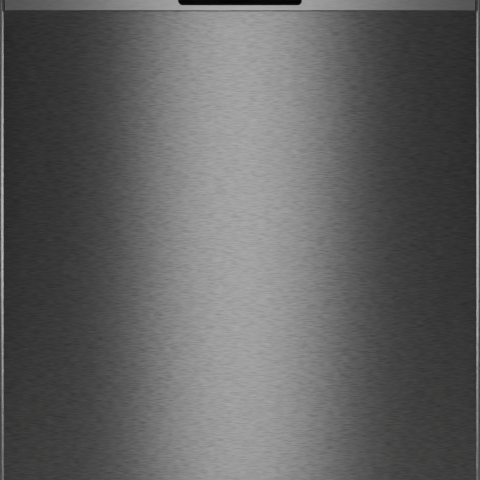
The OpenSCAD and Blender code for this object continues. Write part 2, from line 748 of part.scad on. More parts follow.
module key_outline(x, margin) translate([x, key_z]) rounded(
    [-key_w / 2 - margin, -key_h / 2 - margin], [key_w / 2 + margin, key_h / 2 + margin], 2 + margin);

module fascia_cover() color([0.30, 0.30, 0.31]) along_y(y_front, y_front + skin_t) difference() {
    translate([-door_half_w + cover_inset, fascia_bottom])
        square([2 * (door_half_w - cover_inset), fascia_h]);
    grip_outline(0);
    display_outline(0);
    for (x = key_xs) key_outline(x, 0.4);
}

// Moulded carrier behind the steel cover, open to the back
module fascia_body() color([0.20, 0.20, 0.21]) {
    front = y_front + skin_t + 0.05;
    back = rim_y - 1.2 - gap;
    wall = 2.5;
    difference() {
        along_y(front, back) translate([-door_half_w, fascia_bottom]) square([2 * door_half_w, fascia_h]);
        along_y(front + wall, back + 1) translate([-door_half_w + wall, fascia_bottom + wall])
            square([2 * (door_half_w - wall), fascia_h - 2 * wall]);
        along_y(front - 1, front + wall + 1) {
            grip_outline(gap);
            display_outline(gap);
            for (x = key_xs) key_outline(x, 0.4);
        }
        // groove between the cover and the end strips
        both_sides() along_y(front - 1, front + wall - 0.7) translate([door_half_w - cover_inset, fascia_bottom - 1])
            square([groove_w, fascia_h + 2]);
        // the side walls stop where the inner panel's return comes in
        along_y(rim_y - 18, back + 1) translate([-door_half_w - 1, fascia_bottom - 1])
            square([2 * door_half_w + 2, fascia_h - wall]);
    }
    for (side = [-1, 1]) along_y(y_front, front + 1)
        translate([side > 0 ? door_half_w - cover_inset + groove_w : -door_half_w, fascia_bottom])
            square([cover_inset - groove_w, fascia_h]);
}

// Finger room behind the fascia, taller than the grip opening
module pocket_outline(margin) rounded(
    [-grip_w / 2 + gap - margin, grip_bottom + gap - margin],
    [grip_w / 2 - gap + margin, grip_bottom + grip_h + 8 + margin], grip_r);

module handle_cup() color([0.03, 0.03, 0.03]) difference() {
    union() {
        along_y(y_front + 0.6, y_front + 6) grip_outline(-gap);
        along_y(y_front + 4.6, y_front + grip_depth) pocket_outline(0);
    }
    along_y(y_front - 1, y_front + 7) grip_outline(-2);
    along_y(y_front + 6.6, y_front + grip_depth - 2) pocket_outline(-2);
}

module display_window() color([0.02, 0.02, 0.03]) along_y(y_front + 0.3, y_front + 3) display_outline(-gap);

module control_module() color([0.24, 0.25, 0.27]) difference() {
    low = [-150, y_front + 16, display_z - 2];
    high = [150, rim_y - 3, latch_z - 8];
    block(low, high);
    block([low.x + 2, low.y - 1, low.z + 2], [high.x - 2, high.y - 2, high.z - 2]);
}

// Inner panel: a rim with side returns and a pan that fills the tub's mouth
module door_inner_panel() color([0.74, 0.75, 0.76]) difference() {
    union() {
        along_y(rim_y - skin_t, rim_y) translate([-rim_half_w, rim_bottom])
            square([2 * rim_half_w, rim_top - rim_bottom]);
        along_y(rim_y - 0.5, liner_y) rounded([-pan_half_w, pan_bottom], [pan_half_w, pan_top], pan_r);
        for (side = [-1, 1]) along_y(rim_y - 16, rim_y - 0.5)
            translate([side > 0 ? rim_half_w - skin_t : -rim_half_w, rim_bottom])
                square([skin_t, rim_top - rim_bottom]);
    }
    along_y(rim_y - 2, liner_y - skin_t)
        rounded([-pan_half_w + skin_t, pan_bottom + skin_t], [pan_half_w - skin_t, pan_top - skin_t], pan_r - skin_t);
    along_y(liner_y - 5, liner_y + 1) translate([-disp_half_w, disp_bottom]) square([2 * disp_half_w, disp_h]);
    // slot for the strike
    along_y(rim_y - 2, rim_y + 1) translate([-15, latch_z - 1]) square([30, 9.1]);
    both_sides() for (z = screw_zs) along_y(rim_y - 2, rim_y + 1) translate([screw_x, z]) circle(2.2);
}

module door_insulation() color([0.14, 0.14, 0.15])
    block([-pan_half_w + 4, y_front + skin_t + 0.2, toe_h + 44],
        [pan_half_w - 4, y_front + skin_t + 8, panel_top - 12]);

// Detergent well and rinse aid chamber in one moulding

module dispenser() color([0.50, 0.51, 0.53]) difference() {
    union() {
        along_y(liner_y - 34, liner_y - 1) translate([-disp_half_w + gap, disp_bottom + gap])
            square([2 * (disp_half_w - gap), disp_h - 2 * gap]);
        along_y(liner_y + 0.1, liner_y + 1.6)
            rounded([-disp_half_w - 5, disp_bottom - 5], [disp_half_w + 5, disp_bottom + disp_h + 5], 8);
        along_y(liner_y - 2, liner_y + 0.2) translate([-disp_half_w + gap, disp_bottom + gap])
            square([2 * (disp_half_w - gap), disp_h - 2 * gap]);
    }
    along_y(liner_y - 30, liner_y + 3) rounded([well_x, well_z], [well_x + well_w, well_z + well_h], 8);
    along_y(liner_y - 24, liner_y + 3) translate([cap_x, cap_z]) circle(cap_r - 5);
}

module dispenser_lid() color([0.58, 0.59, 0.61]) {
    along_z(well_z + 6, well_z + well_h - 6) translate([well_x - 3, liner_y + 3.2]) circle(1.4);
    along_y(liner_y + 1.8, liner_y + 4.2)
        rounded([well_x - 3, well_z - 3], [well_x + well_w + 3, well_z + well_h + 3], 8);
    along_y(liner_y + 4, liner_y + 6)
        rounded([well_x + 12, well_z + 8], [well_x + well_w - 12, well_z + 15], 3);
}

module rinse_aid_cap() color([0.36, 0.45, 0.55]) {
    along_y(liner_y + 1.9, liner_y + 4.4) translate([cap_x, cap_z]) circle(cap_r);
    along_x(cap_x - 8, cap_x + 8) translate([liner_y + 3.4, cap_z + cap_r + 0.6]) circle(1.4);
    along_y(liner_y + 2, liner_y + 4.2) translate([cap_x - 6, cap_z + cap_r - 3]) square([12, 4]);
}

// Catch in the top of the door; it turns up through the window of the strike

module latch_hook() color([0.80, 0.80, 0.82]) along_x(-5, 5) difference() {
    union() {
        translate([latch_y - 7, latch_z - 2]) circle(4.5);
        translate([latch_y - 7, latch_z - 4]) square([16, 4]);
        translate([latch_y + 5, latch_z - 2]) square([4, 4.4]);
    }
    translate([latch_y - 7, latch_z - 2]) circle(2 + pin_play);
}

module hinge_arm() color([0.70, 0.71, 0.72]) along_x(arm_x, arm_x + hinge_t) difference() {
    union() {
        translate([hinge_y, hinge_z]) circle(12);
        translate([hinge_y - 5, hinge_z + 9]) square([rim_y - skin_t - gap - hinge_y + 5, 200]);
        translate([hinge_y - 5, hinge_z]) square([17, 20]);
        translate([hinge_y, hinge_z - 6]) square([lever_l, 12]);
    }
    translate([hinge_y, hinge_z]) circle(hinge_pin_r + pin_play);
    translate(spring_head()) circle(2);
}

module hinge_arms() both_sides() hinge_arm();

module door_bottom_seal() color([0.10, 0.10, 0.10])
    block([-pan_half_w + pan_r, flange_y + 1, pan_bottom - 2.6], [pan_half_w - pan_r, liner_y - 3, pan_bottom - 0.1]);

// Screws through the edge of the inner panel
module door_screws() color([0.70, 0.71, 0.72]) both_sides()
    for (z = screw_zs) {
        along_y(rim_y + 0.1, rim_y + 2.2) translate([screw_x, z]) circle(3.4);
        along_y(rim_y - 12, rim_y + 1) translate([screw_x, z]) circle(1.9);
    }

module push_key(i) color([0.55, 0.55, 0.56]) {
    along_y(y_front - 0.0, y_front + 7) key_outline(key_xs[i], 0);
    along_y(y_front + 5, y_front + 7) key_outline(key_xs[i], 2);
}

module power_button() push_key(0);

module start_button() push_key(1);

module program_button() push_key(2);

base_pan();
tub();
tub_insulation();
left_side_panel();
right_side_panel();
back_panel();
top_cover();
worktop_brackets();
door_gasket();
plinth_panel();
hinge_brackets();
door_springs();
sump();
filter_plate();
circulation_pump();
drain_pump();
water_softener();
water_feed_pipe();
inlet_valve();
mains_inlet();
door_strike();
lower_rails();
upper_rails();
lower_spray_arm();
ceiling_spray_arm();
pump_impeller();
filter_cylinder();
salt_cap();
left_foot();
right_foot();
rear_foot();
door_outer_panel();
fascia_body();
fascia_cover();
handle_cup();
display_window();
control_module();
door_inner_panel();
door_insulation();
dispenser();
hinge_arms();
door_bottom_seal();
door_screws();
dispenser_lid();
rinse_aid_cap();
latch_hook();
power_button();
start_button();
program_button();
rail_sliders();
rack_carriers();
upper_rack();
upper_spray_feed();
upper_spray_arm();
cup_shelf();
lower_rack();
lower_tines();
front_wheels();
rear_wheels();
cutlery_basket();
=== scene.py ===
"""A built-in dishwasher with a dark brushed steel door, finished round its CAD frame and lit in a studio."""
import json
import math

import bmesh
import bpy
import numpy as np
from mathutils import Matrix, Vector
from mathutils.geometry import tessellate_polygon

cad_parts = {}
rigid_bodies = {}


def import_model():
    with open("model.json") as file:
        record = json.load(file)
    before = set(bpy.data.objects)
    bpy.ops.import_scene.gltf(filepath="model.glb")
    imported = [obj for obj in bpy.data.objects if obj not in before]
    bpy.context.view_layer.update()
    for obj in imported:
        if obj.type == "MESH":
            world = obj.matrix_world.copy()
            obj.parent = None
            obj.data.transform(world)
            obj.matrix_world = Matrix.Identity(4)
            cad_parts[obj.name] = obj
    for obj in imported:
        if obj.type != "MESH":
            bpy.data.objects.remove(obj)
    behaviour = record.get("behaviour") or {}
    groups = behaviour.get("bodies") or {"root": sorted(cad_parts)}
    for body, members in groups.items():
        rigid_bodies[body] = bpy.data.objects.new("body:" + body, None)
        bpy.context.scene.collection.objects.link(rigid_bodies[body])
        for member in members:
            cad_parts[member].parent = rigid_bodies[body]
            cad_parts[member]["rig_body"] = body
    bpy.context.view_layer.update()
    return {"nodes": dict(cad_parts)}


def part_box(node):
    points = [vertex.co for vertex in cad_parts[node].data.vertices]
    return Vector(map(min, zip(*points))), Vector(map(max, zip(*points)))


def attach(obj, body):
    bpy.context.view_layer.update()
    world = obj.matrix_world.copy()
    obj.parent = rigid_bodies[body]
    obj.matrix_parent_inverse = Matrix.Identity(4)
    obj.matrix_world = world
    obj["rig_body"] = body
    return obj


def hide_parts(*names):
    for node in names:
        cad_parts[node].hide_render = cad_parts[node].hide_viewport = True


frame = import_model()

# --- Studio ---------------------------------------------------------------------------------------
# A pale floor, a long lens square on to the middle of the door, and panels of light: nested upright
# strips in front that fade outwards, one low at each side, a narrow one over the door's top joint, a
# broad one overhead and one behind.
MM = 0.001


def box_of(node):
    """A node's lowest and highest corners as arrays."""
    return [np.array(corner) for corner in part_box(node)]


door_low, door_high = box_of("door_outer_panel")
view_width, camera_distance = 598 * MM, 14.0
view_middle_z = door_high[2] - 285.5 * MM
camera = bpy.data.objects.new("camera", bpy.data.cameras.new("camera"))
camera.data.lens = camera.data.sensor_width * camera_distance / view_width
camera.location = (0, door_low[1] - camera_distance, view_middle_z)
camera.rotation_euler = (math.pi / 2, 0, 0)
bpy.context.scene.collection.objects.link(camera)
bpy.context.scene.camera = camera


def studio_light(name, place, aim, width, height, power):
    """A rectangular panel of light at a place, turned to face another place; cameras don't see it."""
    lamp = bpy.data.lights.new(name, "AREA")
    lamp.shape = "RECTANGLE"
    lamp.size, lamp.size_y, lamp.energy = width, height, power
    panel = bpy.data.objects.new(name, lamp)
    panel.location = place
    panel.rotation_euler = (Vector(aim) - Vector(place)).to_track_quat("-Z", "Y").to_euler()
    panel.visible_camera = False
    bpy.context.scene.collection.objects.link(panel)


strip_z, strip_y, strip_tall, watts_per_metre = view_middle_z + 0.04, -1.14, 1.0, 5.8
for step, strip_wide in enumerate((0.05, 0.11, 0.17, 0.25)):
    studio_light(f"front_strip_{step}", (0, strip_y - 0.01 * step, strip_z), (0, 0, strip_z), strip_wide,
                 strip_tall, watts_per_metre * strip_wide)
side_z = 0.452
for side in (-1, 1):
    studio_light(f"side_panel_{side}", (side * 0.66, -0.456, side_z), (side * 0.29, -0.28, side_z),
                 0.3, 0.2, 4.8)
studio_light("joint_strip", (0, -0.42, 1.5), (0, -0.3, 0.8), 1.2, 0.12, 3.0)
studio_light("overhead", (0, 0.35, 3.2), (0, 0.2, 0.4), 2.2, 1.5, 52)
studio_light("back_fill", (0.9, 2.2, 1.6), (0, 0, 0.4), 1.4, 1.0, 22)

world = bpy.data.worlds.new("studio_air")
world.use_nodes = True
world.node_tree.nodes["Background"].inputs["Color"].default_value = (0.75, 0.75, 0.75, 1)
world.node_tree.nodes["Background"].inputs["Strength"].default_value = 0.08
bpy.context.scene.world = world


class Finish:
    """A Principled material whose nodes are added one at a time, with patterns on Object coordinates."""

    def __init__(self, name, colour, metallic=0.0, roughness=0.5, **sockets):
        """A new material; other sockets are named with underscores."""
        self.material = bpy.data.materials.new(name)
        self.material.use_nodes = True
        self.nodes = self.material.node_tree.nodes
        self.links = self.material.node_tree.links
        self.shader = self.nodes["Principled BSDF"]
        self.shader.inputs["Base Color"].default_value = (*colour, 1)
        self.shader.inputs["Metallic"].default_value = metallic
        self.shader.inputs["Roughness"].default_value = roughness
        for socket, value in sockets.items():
            title = socket.replace("_", " ").title().replace("Ior", "IOR")
            self.shader.inputs[title].default_value = value
        self.place = self.nodes.new("ShaderNodeTexCoord").outputs["Object"]
        self.bumps = None

    def noise(self, scale, detail, stretch=(1, 1, 1)):
        """Noise on the object's own metres, stretched along each axis."""
        mapping = self.nodes.new("ShaderNodeMapping")
        mapping.inputs["Scale"].default_value = stretch
        self.links.new(self.place, mapping.inputs["Vector"])
        grain = self.nodes.new("ShaderNodeTexNoise")
        grain.inputs["Scale"].default_value = scale
        grain.inputs["Detail"].default_value = detail
        self.links.new(mapping.outputs["Vector"], grain.inputs["Vector"])
        return grain.outputs["Fac"]

    def spread(self, value, low=0.3, high=0.7, to_low=0, to_high=1):
        """Maps a value's range onto another one, clamped; noise lies mostly between 0.3 and 0.7."""
        ranger = self.nodes.new("ShaderNodeMapRange")
        limits = {"From Min": low, "From Max": high, "To Min": to_low, "To Max": to_high}
        for socket, number in limits.items():
            ranger.inputs[socket].default_value = number
        self.links.new(value, ranger.inputs["Value"])
        return ranger.outputs["Result"]

    def tint(self, value, dark, light):
        """Colours the surface between two colours by a value from 0 to 1."""
        mix = self.nodes.new("ShaderNodeMix")
        mix.data_type = "RGBA"
        mix.inputs["A"].default_value = (*dark, 1)
        mix.inputs["B"].default_value = (*light, 1)
        self.links.new(value, mix.inputs["Factor"])
        self.links.new(mix.outputs["Result"], self.shader.inputs["Base Color"])
        return self

    def vary_roughness(self, value, low, high):
        """Lets the roughness wander between two limits."""
        self.links.new(self.spread(value, to_low=low, to_high=high), self.shader.inputs["Roughness"])
        return self

    def bump(self, value, depth):
        """Raises the surface by a value times a depth in metres, on top of earlier bumps."""
        bump = self.nodes.new("ShaderNodeBump")
        bump.inputs["Distance"].default_value = depth
        bump.inputs["Strength"].default_value = 1.0
        self.links.new(value, bump.inputs["Height"])
        if self.bumps:
            self.links.new(self.bumps, bump.inputs["Normal"])
        self.bumps = bump.outputs["Normal"]
        self.links.new(self.bumps, self.shader.inputs["Normal"])
        return self

    def grain_along_u(self):
        """Lays the brushing direction along the piece's U coordinate."""
        tangent = self.nodes.new("ShaderNodeTangent")
        tangent.direction_type = "UV_MAP"
        self.links.new(tangent.outputs["Tangent"], self.shader.inputs["Tangent"])
        return self


floor_half = 60
floor_mesh = bpy.data.meshes.new("studio_floor")
floor_corners = [(x * floor_half, y * floor_half, 0) for x, y in ((-1, -1), (1, -1), (1, 1), (-1, 1))]
floor_mesh.from_pydata(floor_corners, [], [(0, 1, 2, 3)])
studio_floor = bpy.data.objects.new("studio_floor", floor_mesh)
bpy.context.scene.collection.objects.link(studio_floor)
floor_mesh.materials.append(Finish("pale_floor", (0.62, 0.62, 0.61), roughness=0.7).material)


def add_piece(name, points, faces, finish, node, uv=None, replace=True):
    """A mesh from arrays of points and faces, in one finish, that rides with a node and stands for it."""
    mesh = bpy.data.meshes.new(name)
    mesh.from_pydata(np.asarray(points, float).tolist(), [], [list(map(int, f)) for f in faces])
    if uv is not None:
        layer = mesh.uv_layers.new(name="UVMap")
        corner = np.empty(len(mesh.loops), dtype=np.int64)
        mesh.loops.foreach_get("vertex_index", corner)
        layer.data.foreach_set("uv", np.asarray(uv, dtype=np.float32)[corner].ravel())
    mesh.polygons.foreach_set("use_smooth", np.ones(len(mesh.polygons), bool))
    mesh.materials.append(finish.material)
    mesh.update()
    piece = bpy.data.objects.new(name, mesh)
    bpy.context.scene.collection.objects.link(piece)
    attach(piece, frame["nodes"][node]["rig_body"])
    if replace:
        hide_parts(node)
    return piece


def grid_faces(rows, columns, round_rows=False, round_columns=False, start=0):
    """Quads over a rows by columns grid of points, closed round either way where asked."""
    r = np.arange(rows if round_rows else rows - 1)
    c = np.arange(columns if round_columns else columns - 1)
    r, c = (a.ravel() for a in np.meshgrid(r, c, indexing="ij"))
    r2, c2 = (r + 1) % rows, (c + 1) % columns
    return start + np.stack([r * columns + c, r * columns + c2, r2 * columns + c2, r2 * columns + c], 1)


def tube_faces(rows, columns):
    """Quads over rings of points along a tube, and a flat cap over each end ring."""
    faces = grid_faces(rows, columns, round_columns=True).tolist()
    return faces + [list(range(columns))[::-1], list(range((rows - 1) * columns, rows * columns))]


def joined(parts):
    """Several (points, faces) shapes as one: each shape's face numbers move up past the points before it."""
    points, faces, count = [], [], 0
    for part_points, part_faces in parts:
        points.append(np.asarray(part_points, float).reshape(-1, 3))
        faces.extend([count + i for i in face] for face in part_faces)
        count += len(points[-1])
    return np.concatenate(points), faces


def turned(profile, centre, axis="z", steps=48, ring=False):
    """A profile of (radius, height) rows carried once round Z or X: closed at both ends with flat caps, or a
    ring where the last row meets the first."""
    profile = np.asarray(profile, float)
    turn = np.linspace(0, 2 * math.pi, steps, endpoint=False)
    across, up = profile[:, :1] * np.cos(turn), profile[:, :1] * np.sin(turn)
    along = np.broadcast_to(profile[:, 1:], across.shape)
    order = {"z": (across, up, along), "x": (along, across, up)}[axis]
    points = np.stack(order, -1).reshape(-1, 3) + np.asarray(centre)
    return points, (grid_faces(len(profile), steps, True, True).tolist() if ring
                    else tube_faces(len(profile), steps))


def facing_out(piece, towards=None):
    """Merges doubled points and turns every face outwards, or towards a direction where the shell is open."""
    shell = bmesh.new()
    shell.from_mesh(piece.data)
    bmesh.ops.remove_doubles(shell, verts=shell.verts, dist=1e-6)
    bmesh.ops.recalc_face_normals(shell, faces=shell.faces)
    if towards is not None:
        lean = sum(f.normal.dot(Vector(towards)) * f.calc_area() for f in shell.faces)
        if lean < 0:
            bmesh.ops.reverse_faces(shell, faces=shell.faces)
    shell.to_mesh(piece.data)
    shell.free()
    piece.data.update()
    return piece


def creased(piece, degrees=32):
    """Keeps edges sharper than an angle crisp, and the rest smooth."""
    piece.data.set_sharp_from_angle(angle=math.radians(degrees))
    return piece


def flat_kept(piece):
    """Shades by face area, so that broad flat faces stay flat beside their rounded edges."""
    shading = piece.modifiers.new("flat_faces", "WEIGHTED_NORMAL")
    shading.keep_sharp = True
    return piece


def moulded(node, finish, radius):
    """A node's own solids with the loose triangles merged into convex flats and every sharp edge rounded."""
    source = frame["nodes"][node]
    shell = bmesh.new()
    shell.from_mesh(source.data)
    bmesh.ops.remove_doubles(shell, verts=shell.verts, dist=2e-6)
    bmesh.ops.dissolve_limit(shell, angle_limit=math.radians(0.6), verts=shell.verts, edges=shell.edges)
    bmesh.ops.connect_verts_concave(shell, faces=shell.faces)
    mesh = bpy.data.meshes.new(node + "_finished")
    shell.to_mesh(mesh)
    shell.free()
    mesh.polygons.foreach_set("use_smooth", np.ones(len(mesh.polygons), bool))
    mesh.materials.clear()
    mesh.materials.append(finish.material)
    piece = bpy.data.objects.new(node + "_finished", mesh)
    bpy.context.scene.collection.objects.link(piece)
    creased(piece)
    rounding = piece.modifiers.new("rounded_edges", "BEVEL")
    rounding.width, rounding.segments, rounding.use_clamp_overlap = radius, 2, False
    rounding.limit_method, rounding.angle_limit = "ANGLE", math.radians(32)
    flat_kept(piece)
    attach(piece, source["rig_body"])
    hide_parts(node)
    return piece


def moulded_plastic(name, colour, roughness=0.48, grain=0.00002, **sockets):
    """Moulded plastic: a fine spark-eroded grain, faint flow clouds in the colour, and rubbed patches."""
    plastic = Finish(name, colour, 0.0, roughness, **sockets)
    cloud = plastic.noise(9, 4.0, (1, 1, 1.7))
    dark, light = (tuple(min(1, part * c) for c in colour) for part in (0.82, 1.16))
    plastic.tint(plastic.spread(cloud), dark, light)
    plastic.vary_roughness(plastic.noise(34, 5.0), roughness - 0.08, roughness + 0.1)
    return plastic.bump(plastic.noise(1500, 2.0), grain).bump(cloud, 0.0002)


def dark_sheet_paint(name, colour):
    """Baked paint on sheet steel: orange peel, a slow drift of tone, and small duller rubs."""
    paint = Finish(name, colour, 0.0, 0.38, coat_weight=0.25, coat_roughness=0.25)
    peel = paint.noise(420, 1.5)
    drift = paint.noise(5, 4.0, (1, 1, 0.6))
    dark, light = (tuple(part * c for c in colour) for part in (0.85, 1.15))
    paint.tint(paint.spread(drift), dark, light)
    paint.vary_roughness(paint.noise(12, 3.0, (1, 1, 2.5)), 0.35, 0.44)
    return paint.bump(peel, 0.00006)


black_plastic = moulded_plastic("black_plastic", (0.021, 0.021, 0.022), 0.5)
moulded("base_pan", black_plastic, 1.2 * MM)
painted_sheet = dark_sheet_paint("plinth_paint", (0.035, 0.035, 0.037))
moulded("plinth_panel", painted_sheet, 0.9 * MM)

screw_zinc = Finish("foot_screw_zinc", (0.55, 0.55, 0.53), 1.0, 0.36)
screw_zinc.tint(screw_zinc.noise(60, 4.0), (0.42, 0.42, 0.40), (0.66, 0.66, 0.63))
screw_zinc.vary_roughness(screw_zinc.noise(180, 3.0), 0.28, 0.46)


def foot_shape(low, high):
    """A pad turned from a rounded profile, with six key flats, under a screw whose radius is a ridge that
    climbs one pitch with each turn."""
    x, y = (low[:2] + high[:2]) / 2
    pad_r, screw_r = (high[0] - low[0]) / 2, 6 * MM
    pad = turned([(pad_r - 3 * MM, 0), (pad_r - 0.8 * MM, 0.6 * MM), (pad_r, 2.2 * MM), (pad_r, 5 * MM),
                  (pad_r - 1 * MM, 6.4 * MM), (pad_r - 5 * MM, 7 * MM), (screw_r + 6 * MM, 8.8 * MM),
                  (screw_r + 0.5 * MM, 9 * MM)], (x, y, 0))
    nut_turn = np.linspace(0, 2 * math.pi, 6, endpoint=False)
    nut_r = screw_r + 4 * MM
    nut = np.array([[x + r * math.cos(t), y + r * math.sin(t), z] for z, r in
                    ((7.5 * MM, nut_r), (12.4 * MM, nut_r), (13 * MM, nut_r - 1 * MM)) for t in nut_turn])
    turn, pitch = np.linspace(0, 2 * math.pi, 24, endpoint=False), 1.75 * MM
    z = np.arange(8 * MM, high[2] - 0.5 * MM, pitch / 6)
    zz, tt = np.meshgrid(z, turn, indexing="ij")
    ridge = np.abs(((zz / pitch - tt / (2 * math.pi)) % 1) * 2 - 1)
    r = screw_r - 0.9 * MM * ridge
    thread = np.stack([x + r * np.cos(tt), y + r * np.sin(tt), zz], -1).reshape(-1, 3)
    return joined([pad, (nut, tube_faces(3, 6))]), (thread, tube_faces(len(z), len(turn)))


for node in ("left_foot", "right_foot", "rear_foot"):
    pad, thread = foot_shape(*box_of(node))
    facing_out(creased(add_piece(node + "_pad", *pad, black_plastic, node, replace=False)))
    foot_screw = facing_out(add_piece(node + "_screw", *thread, screw_zinc, node))


# --- Tub ------------------------------------------------------------------------------------------
# The wash tub is deep-drawn stainless sheet with rounded corners, pressed stiffening beads in its walls and
# two round openings in its floor. A flange is turned out all round its mouth.
def round_outline(low, high, radius, steps=6):
    """A rectangle's outline in two coordinates, anticlockwise, each corner a quarter circle."""
    turn = np.linspace(0, math.pi / 2, steps)
    centres = np.array([[high[0] - radius, low[1] + radius], [high[0] - radius, high[1] - radius],
                        [low[0] + radius, high[1] - radius], [low[0] + radius, low[1] + radius]])
    angles = turn[None, :] + (np.arange(4) - 1)[:, None] * math.pi / 2
    return (centres[:, None] + radius * np.stack([np.cos(angles), np.sin(angles)], -1)).reshape(-1, 2)


def ring_outline(centre, radius, steps=48):
    """A circle's outline in two coordinates, anticlockwise."""
    turn = np.linspace(0, 2 * math.pi, steps, endpoint=False)
    return np.asarray(centre) + radius * np.stack([np.cos(turn), np.sin(turn)], -1)


def moved_out(outline, distance):
    """An anticlockwise outline moved outwards: each point goes along the mean normal of its two sides."""
    side = np.roll(outline, -1, 0) - outline
    side /= np.linalg.norm(side, axis=1, keepdims=True)
    normal = np.stack([side[:, 1], -side[:, 0]], -1)
    mean = normal + np.roll(normal, 1, 0)
    return outline + distance * mean / np.maximum((mean ** 2).sum(1, keepdims=True) / 2, 0.5)


def pressed_plate(outline, holes, edge, depth, place):
    """A flat sheet with holes: the face is filled between the outlines, each edge rolls back round a quarter
    circle and runs straight to the depth. place turns (across, up, depth) into X, Y and Z."""
    turn = np.linspace(0, math.pi / 2, 4)
    loops = [moved_out(outline, -edge)] + [moved_out(hole, edge) for hole in holes]
    flat = np.concatenate(loops)
    face_points = np.stack(place(flat[:, 0], flat[:, 1], np.zeros(len(flat))), -1)
    triangles = tessellate_polygon([[(a, b, 0.0) for a, b in loop] for loop in loops])
    parts = [(face_points, triangles)]
    for sign, loop in [(-1, outline)] + [(1, hole) for hole in holes]:
        rings = [moved_out(loop, sign * edge * (1 - math.sin(t))) for t in turn] + [loop]
        sinks = list(edge * (1 - np.cos(turn))) + [depth]
        rim = np.concatenate([np.column_stack([ring, np.full(len(ring), sink)])
                              for ring, sink in zip(rings, sinks)])
        parts.append((np.stack(place(rim[:, 0], rim[:, 1], rim[:, 2]), -1),
                      grid_faces(len(rings), len(loop), round_columns=True).tolist()))
    return joined(parts)


def thicken(piece, depth):
    """Gives a sheet its real thickness, inwards from its outer face."""
    sheet = piece.modifiers.new("sheet_metal", "SOLIDIFY")
    sheet.thickness = depth
    sheet.offset = -1
    return piece


def lines_near(low, high, marks, reach, coarse, fine):
    """Grid lines from low to high: evenly coarse, and fine within a reach of each mark."""
    close = [np.arange(m - reach, m + reach + fine / 2, fine) for m in marks]
    far = np.linspace(low, high, max(2, int(round((high - low) / coarse)) + 1))
    far = far[[all(abs(x - m) > reach + fine for m in marks) for x in far]]
    lines = np.unique(np.round(np.clip(np.concatenate([far, *close, [low, high]]), low, high), 6))
    return lines[np.concatenate([[True], np.diff(lines) > 1e-5])]


def bead(a, b, low, high, radius, ramp):
    """How much of a pressed bead's depth a place has: 1 inside a round-cornered rectangle, 0 outside it, and
    a smooth ramp by signed distance across its edge."""
    middle, half = (np.array(low) + high) / 2, (np.array(high) - low) / 2 - radius
    da, db = np.abs(a - middle[0]) - half[0], np.abs(b - middle[1]) - half[1]
    away = np.hypot(np.maximum(da, 0), np.maximum(db, 0)) + np.minimum(np.maximum(da, db), 0) - radius
    t = np.clip(0.5 - away / ramp, 0, 1)
    return t * t * (3 - 2 * t)


def rolled_stainless(name, shade=0.6, roughness=0.27, grain=(900, 900, 14)):
    """Rolled stainless sheet: a faint grain along one axis and a gloss that wanders a little."""
    steel = Finish(name, (shade,) * 3, 1.0, roughness)
    line = steel.noise(1.0, 2.0, grain)
    dark = (shade * 0.86, shade * 0.87, shade * 0.88)
    steel.tint(steel.spread(line), dark, (shade * 1.12,) * 3)
    steel.vary_roughness(steel.noise(11, 2.0), roughness - 0.015, roughness + 0.025)
    steel.bump(steel.noise(4, 1.0), 0.0001)
    return steel.bump(line, 0.000012)


tub_steel = rolled_stainless("tub_stainless")
tub_low, tub_high = box_of("tub")
plate_low, plate_high = box_of("filter_plate")
cap_low, cap_high = box_of("salt_cap")
tub_wall, tub_corner, flange_wide = 1.5 * MM, 14 * MM, 14 * MM
tub_half, tub_floor = 268 * MM, tub_low[2] + flange_wide
tub_top, tub_back, tub_front = tub_high[2] - 15 * MM, tub_high[1] - tub_wall, tub_low[1]
flat_half = tub_half - tub_corner


def tub_walls():
    """The tub without its floor: an open round-cornered outline (side, top, side) carried from the mouth to
    the back, then drawn in round a quarter circle. Wall beads swell it outwards by up to 1.1 mm."""
    quarter = np.linspace(0, math.pi / 2, 7)
    bead_y, bead_z, bead_wide = (-0.17, -0.02, 0.13), ((0.24, 0.52), (0.64, 0.76)), 0.11
    ys = lines_near(tub_front, tub_back - tub_corner, [y + s for y in bead_y for s in (0, bead_wide)],
                    9 * MM, 30 * MM, 3 * MM)
    zs = lines_near(tub_floor + tub_corner, tub_top - tub_corner, [z for ends in bead_z for z in ends],
                    9 * MM, 30 * MM, 3 * MM)
    xs = np.linspace(flat_half, -flat_half, 16)
    arc = tub_corner * np.stack([np.sin(quarter), -np.cos(quarter)], -1)
    right_low = np.array([flat_half, tub_floor + tub_corner]) + arc
    right = np.stack([np.full(len(zs), tub_half), zs], -1)[1:-1]
    right_top = np.array([flat_half, tub_top - tub_corner]) + arc[::-1] * [1, -1]
    roof = np.stack([xs, np.full(len(xs), tub_top)], -1)[1:-1]
    half = np.concatenate([right_low, right, right_top])
    outline = np.concatenate([half, roof, (half * [-1, 1])[::-1]])
    middle = np.clip(outline, [-flat_half, tub_floor + tub_corner], [flat_half, tub_top - tub_corner])
    rows = [(1.0, y) for y in ys]
    rows += [(math.cos(t), tub_back - tub_corner * (1 - math.sin(t))) for t in quarter[1:]]
    scale, depth = np.array(rows).T
    points = middle[None] + (outline - middle)[None] * scale[:, None, None]
    y = np.broadcast_to(depth[:, None], points.shape[:2])
    x, z = points[..., 0], points[..., 1]
    swell = sum(bead(y, z, (b, bottom), (b + bead_wide, top), 14 * MM, 10 * MM)
                for b in bead_y for bottom, top in bead_z)
    x = x + np.sign(x) * 1.1 * MM * swell * (np.abs(x) > tub_half - 1e-5)
    return np.stack([x, y, z], -1), len(rows), len(outline)


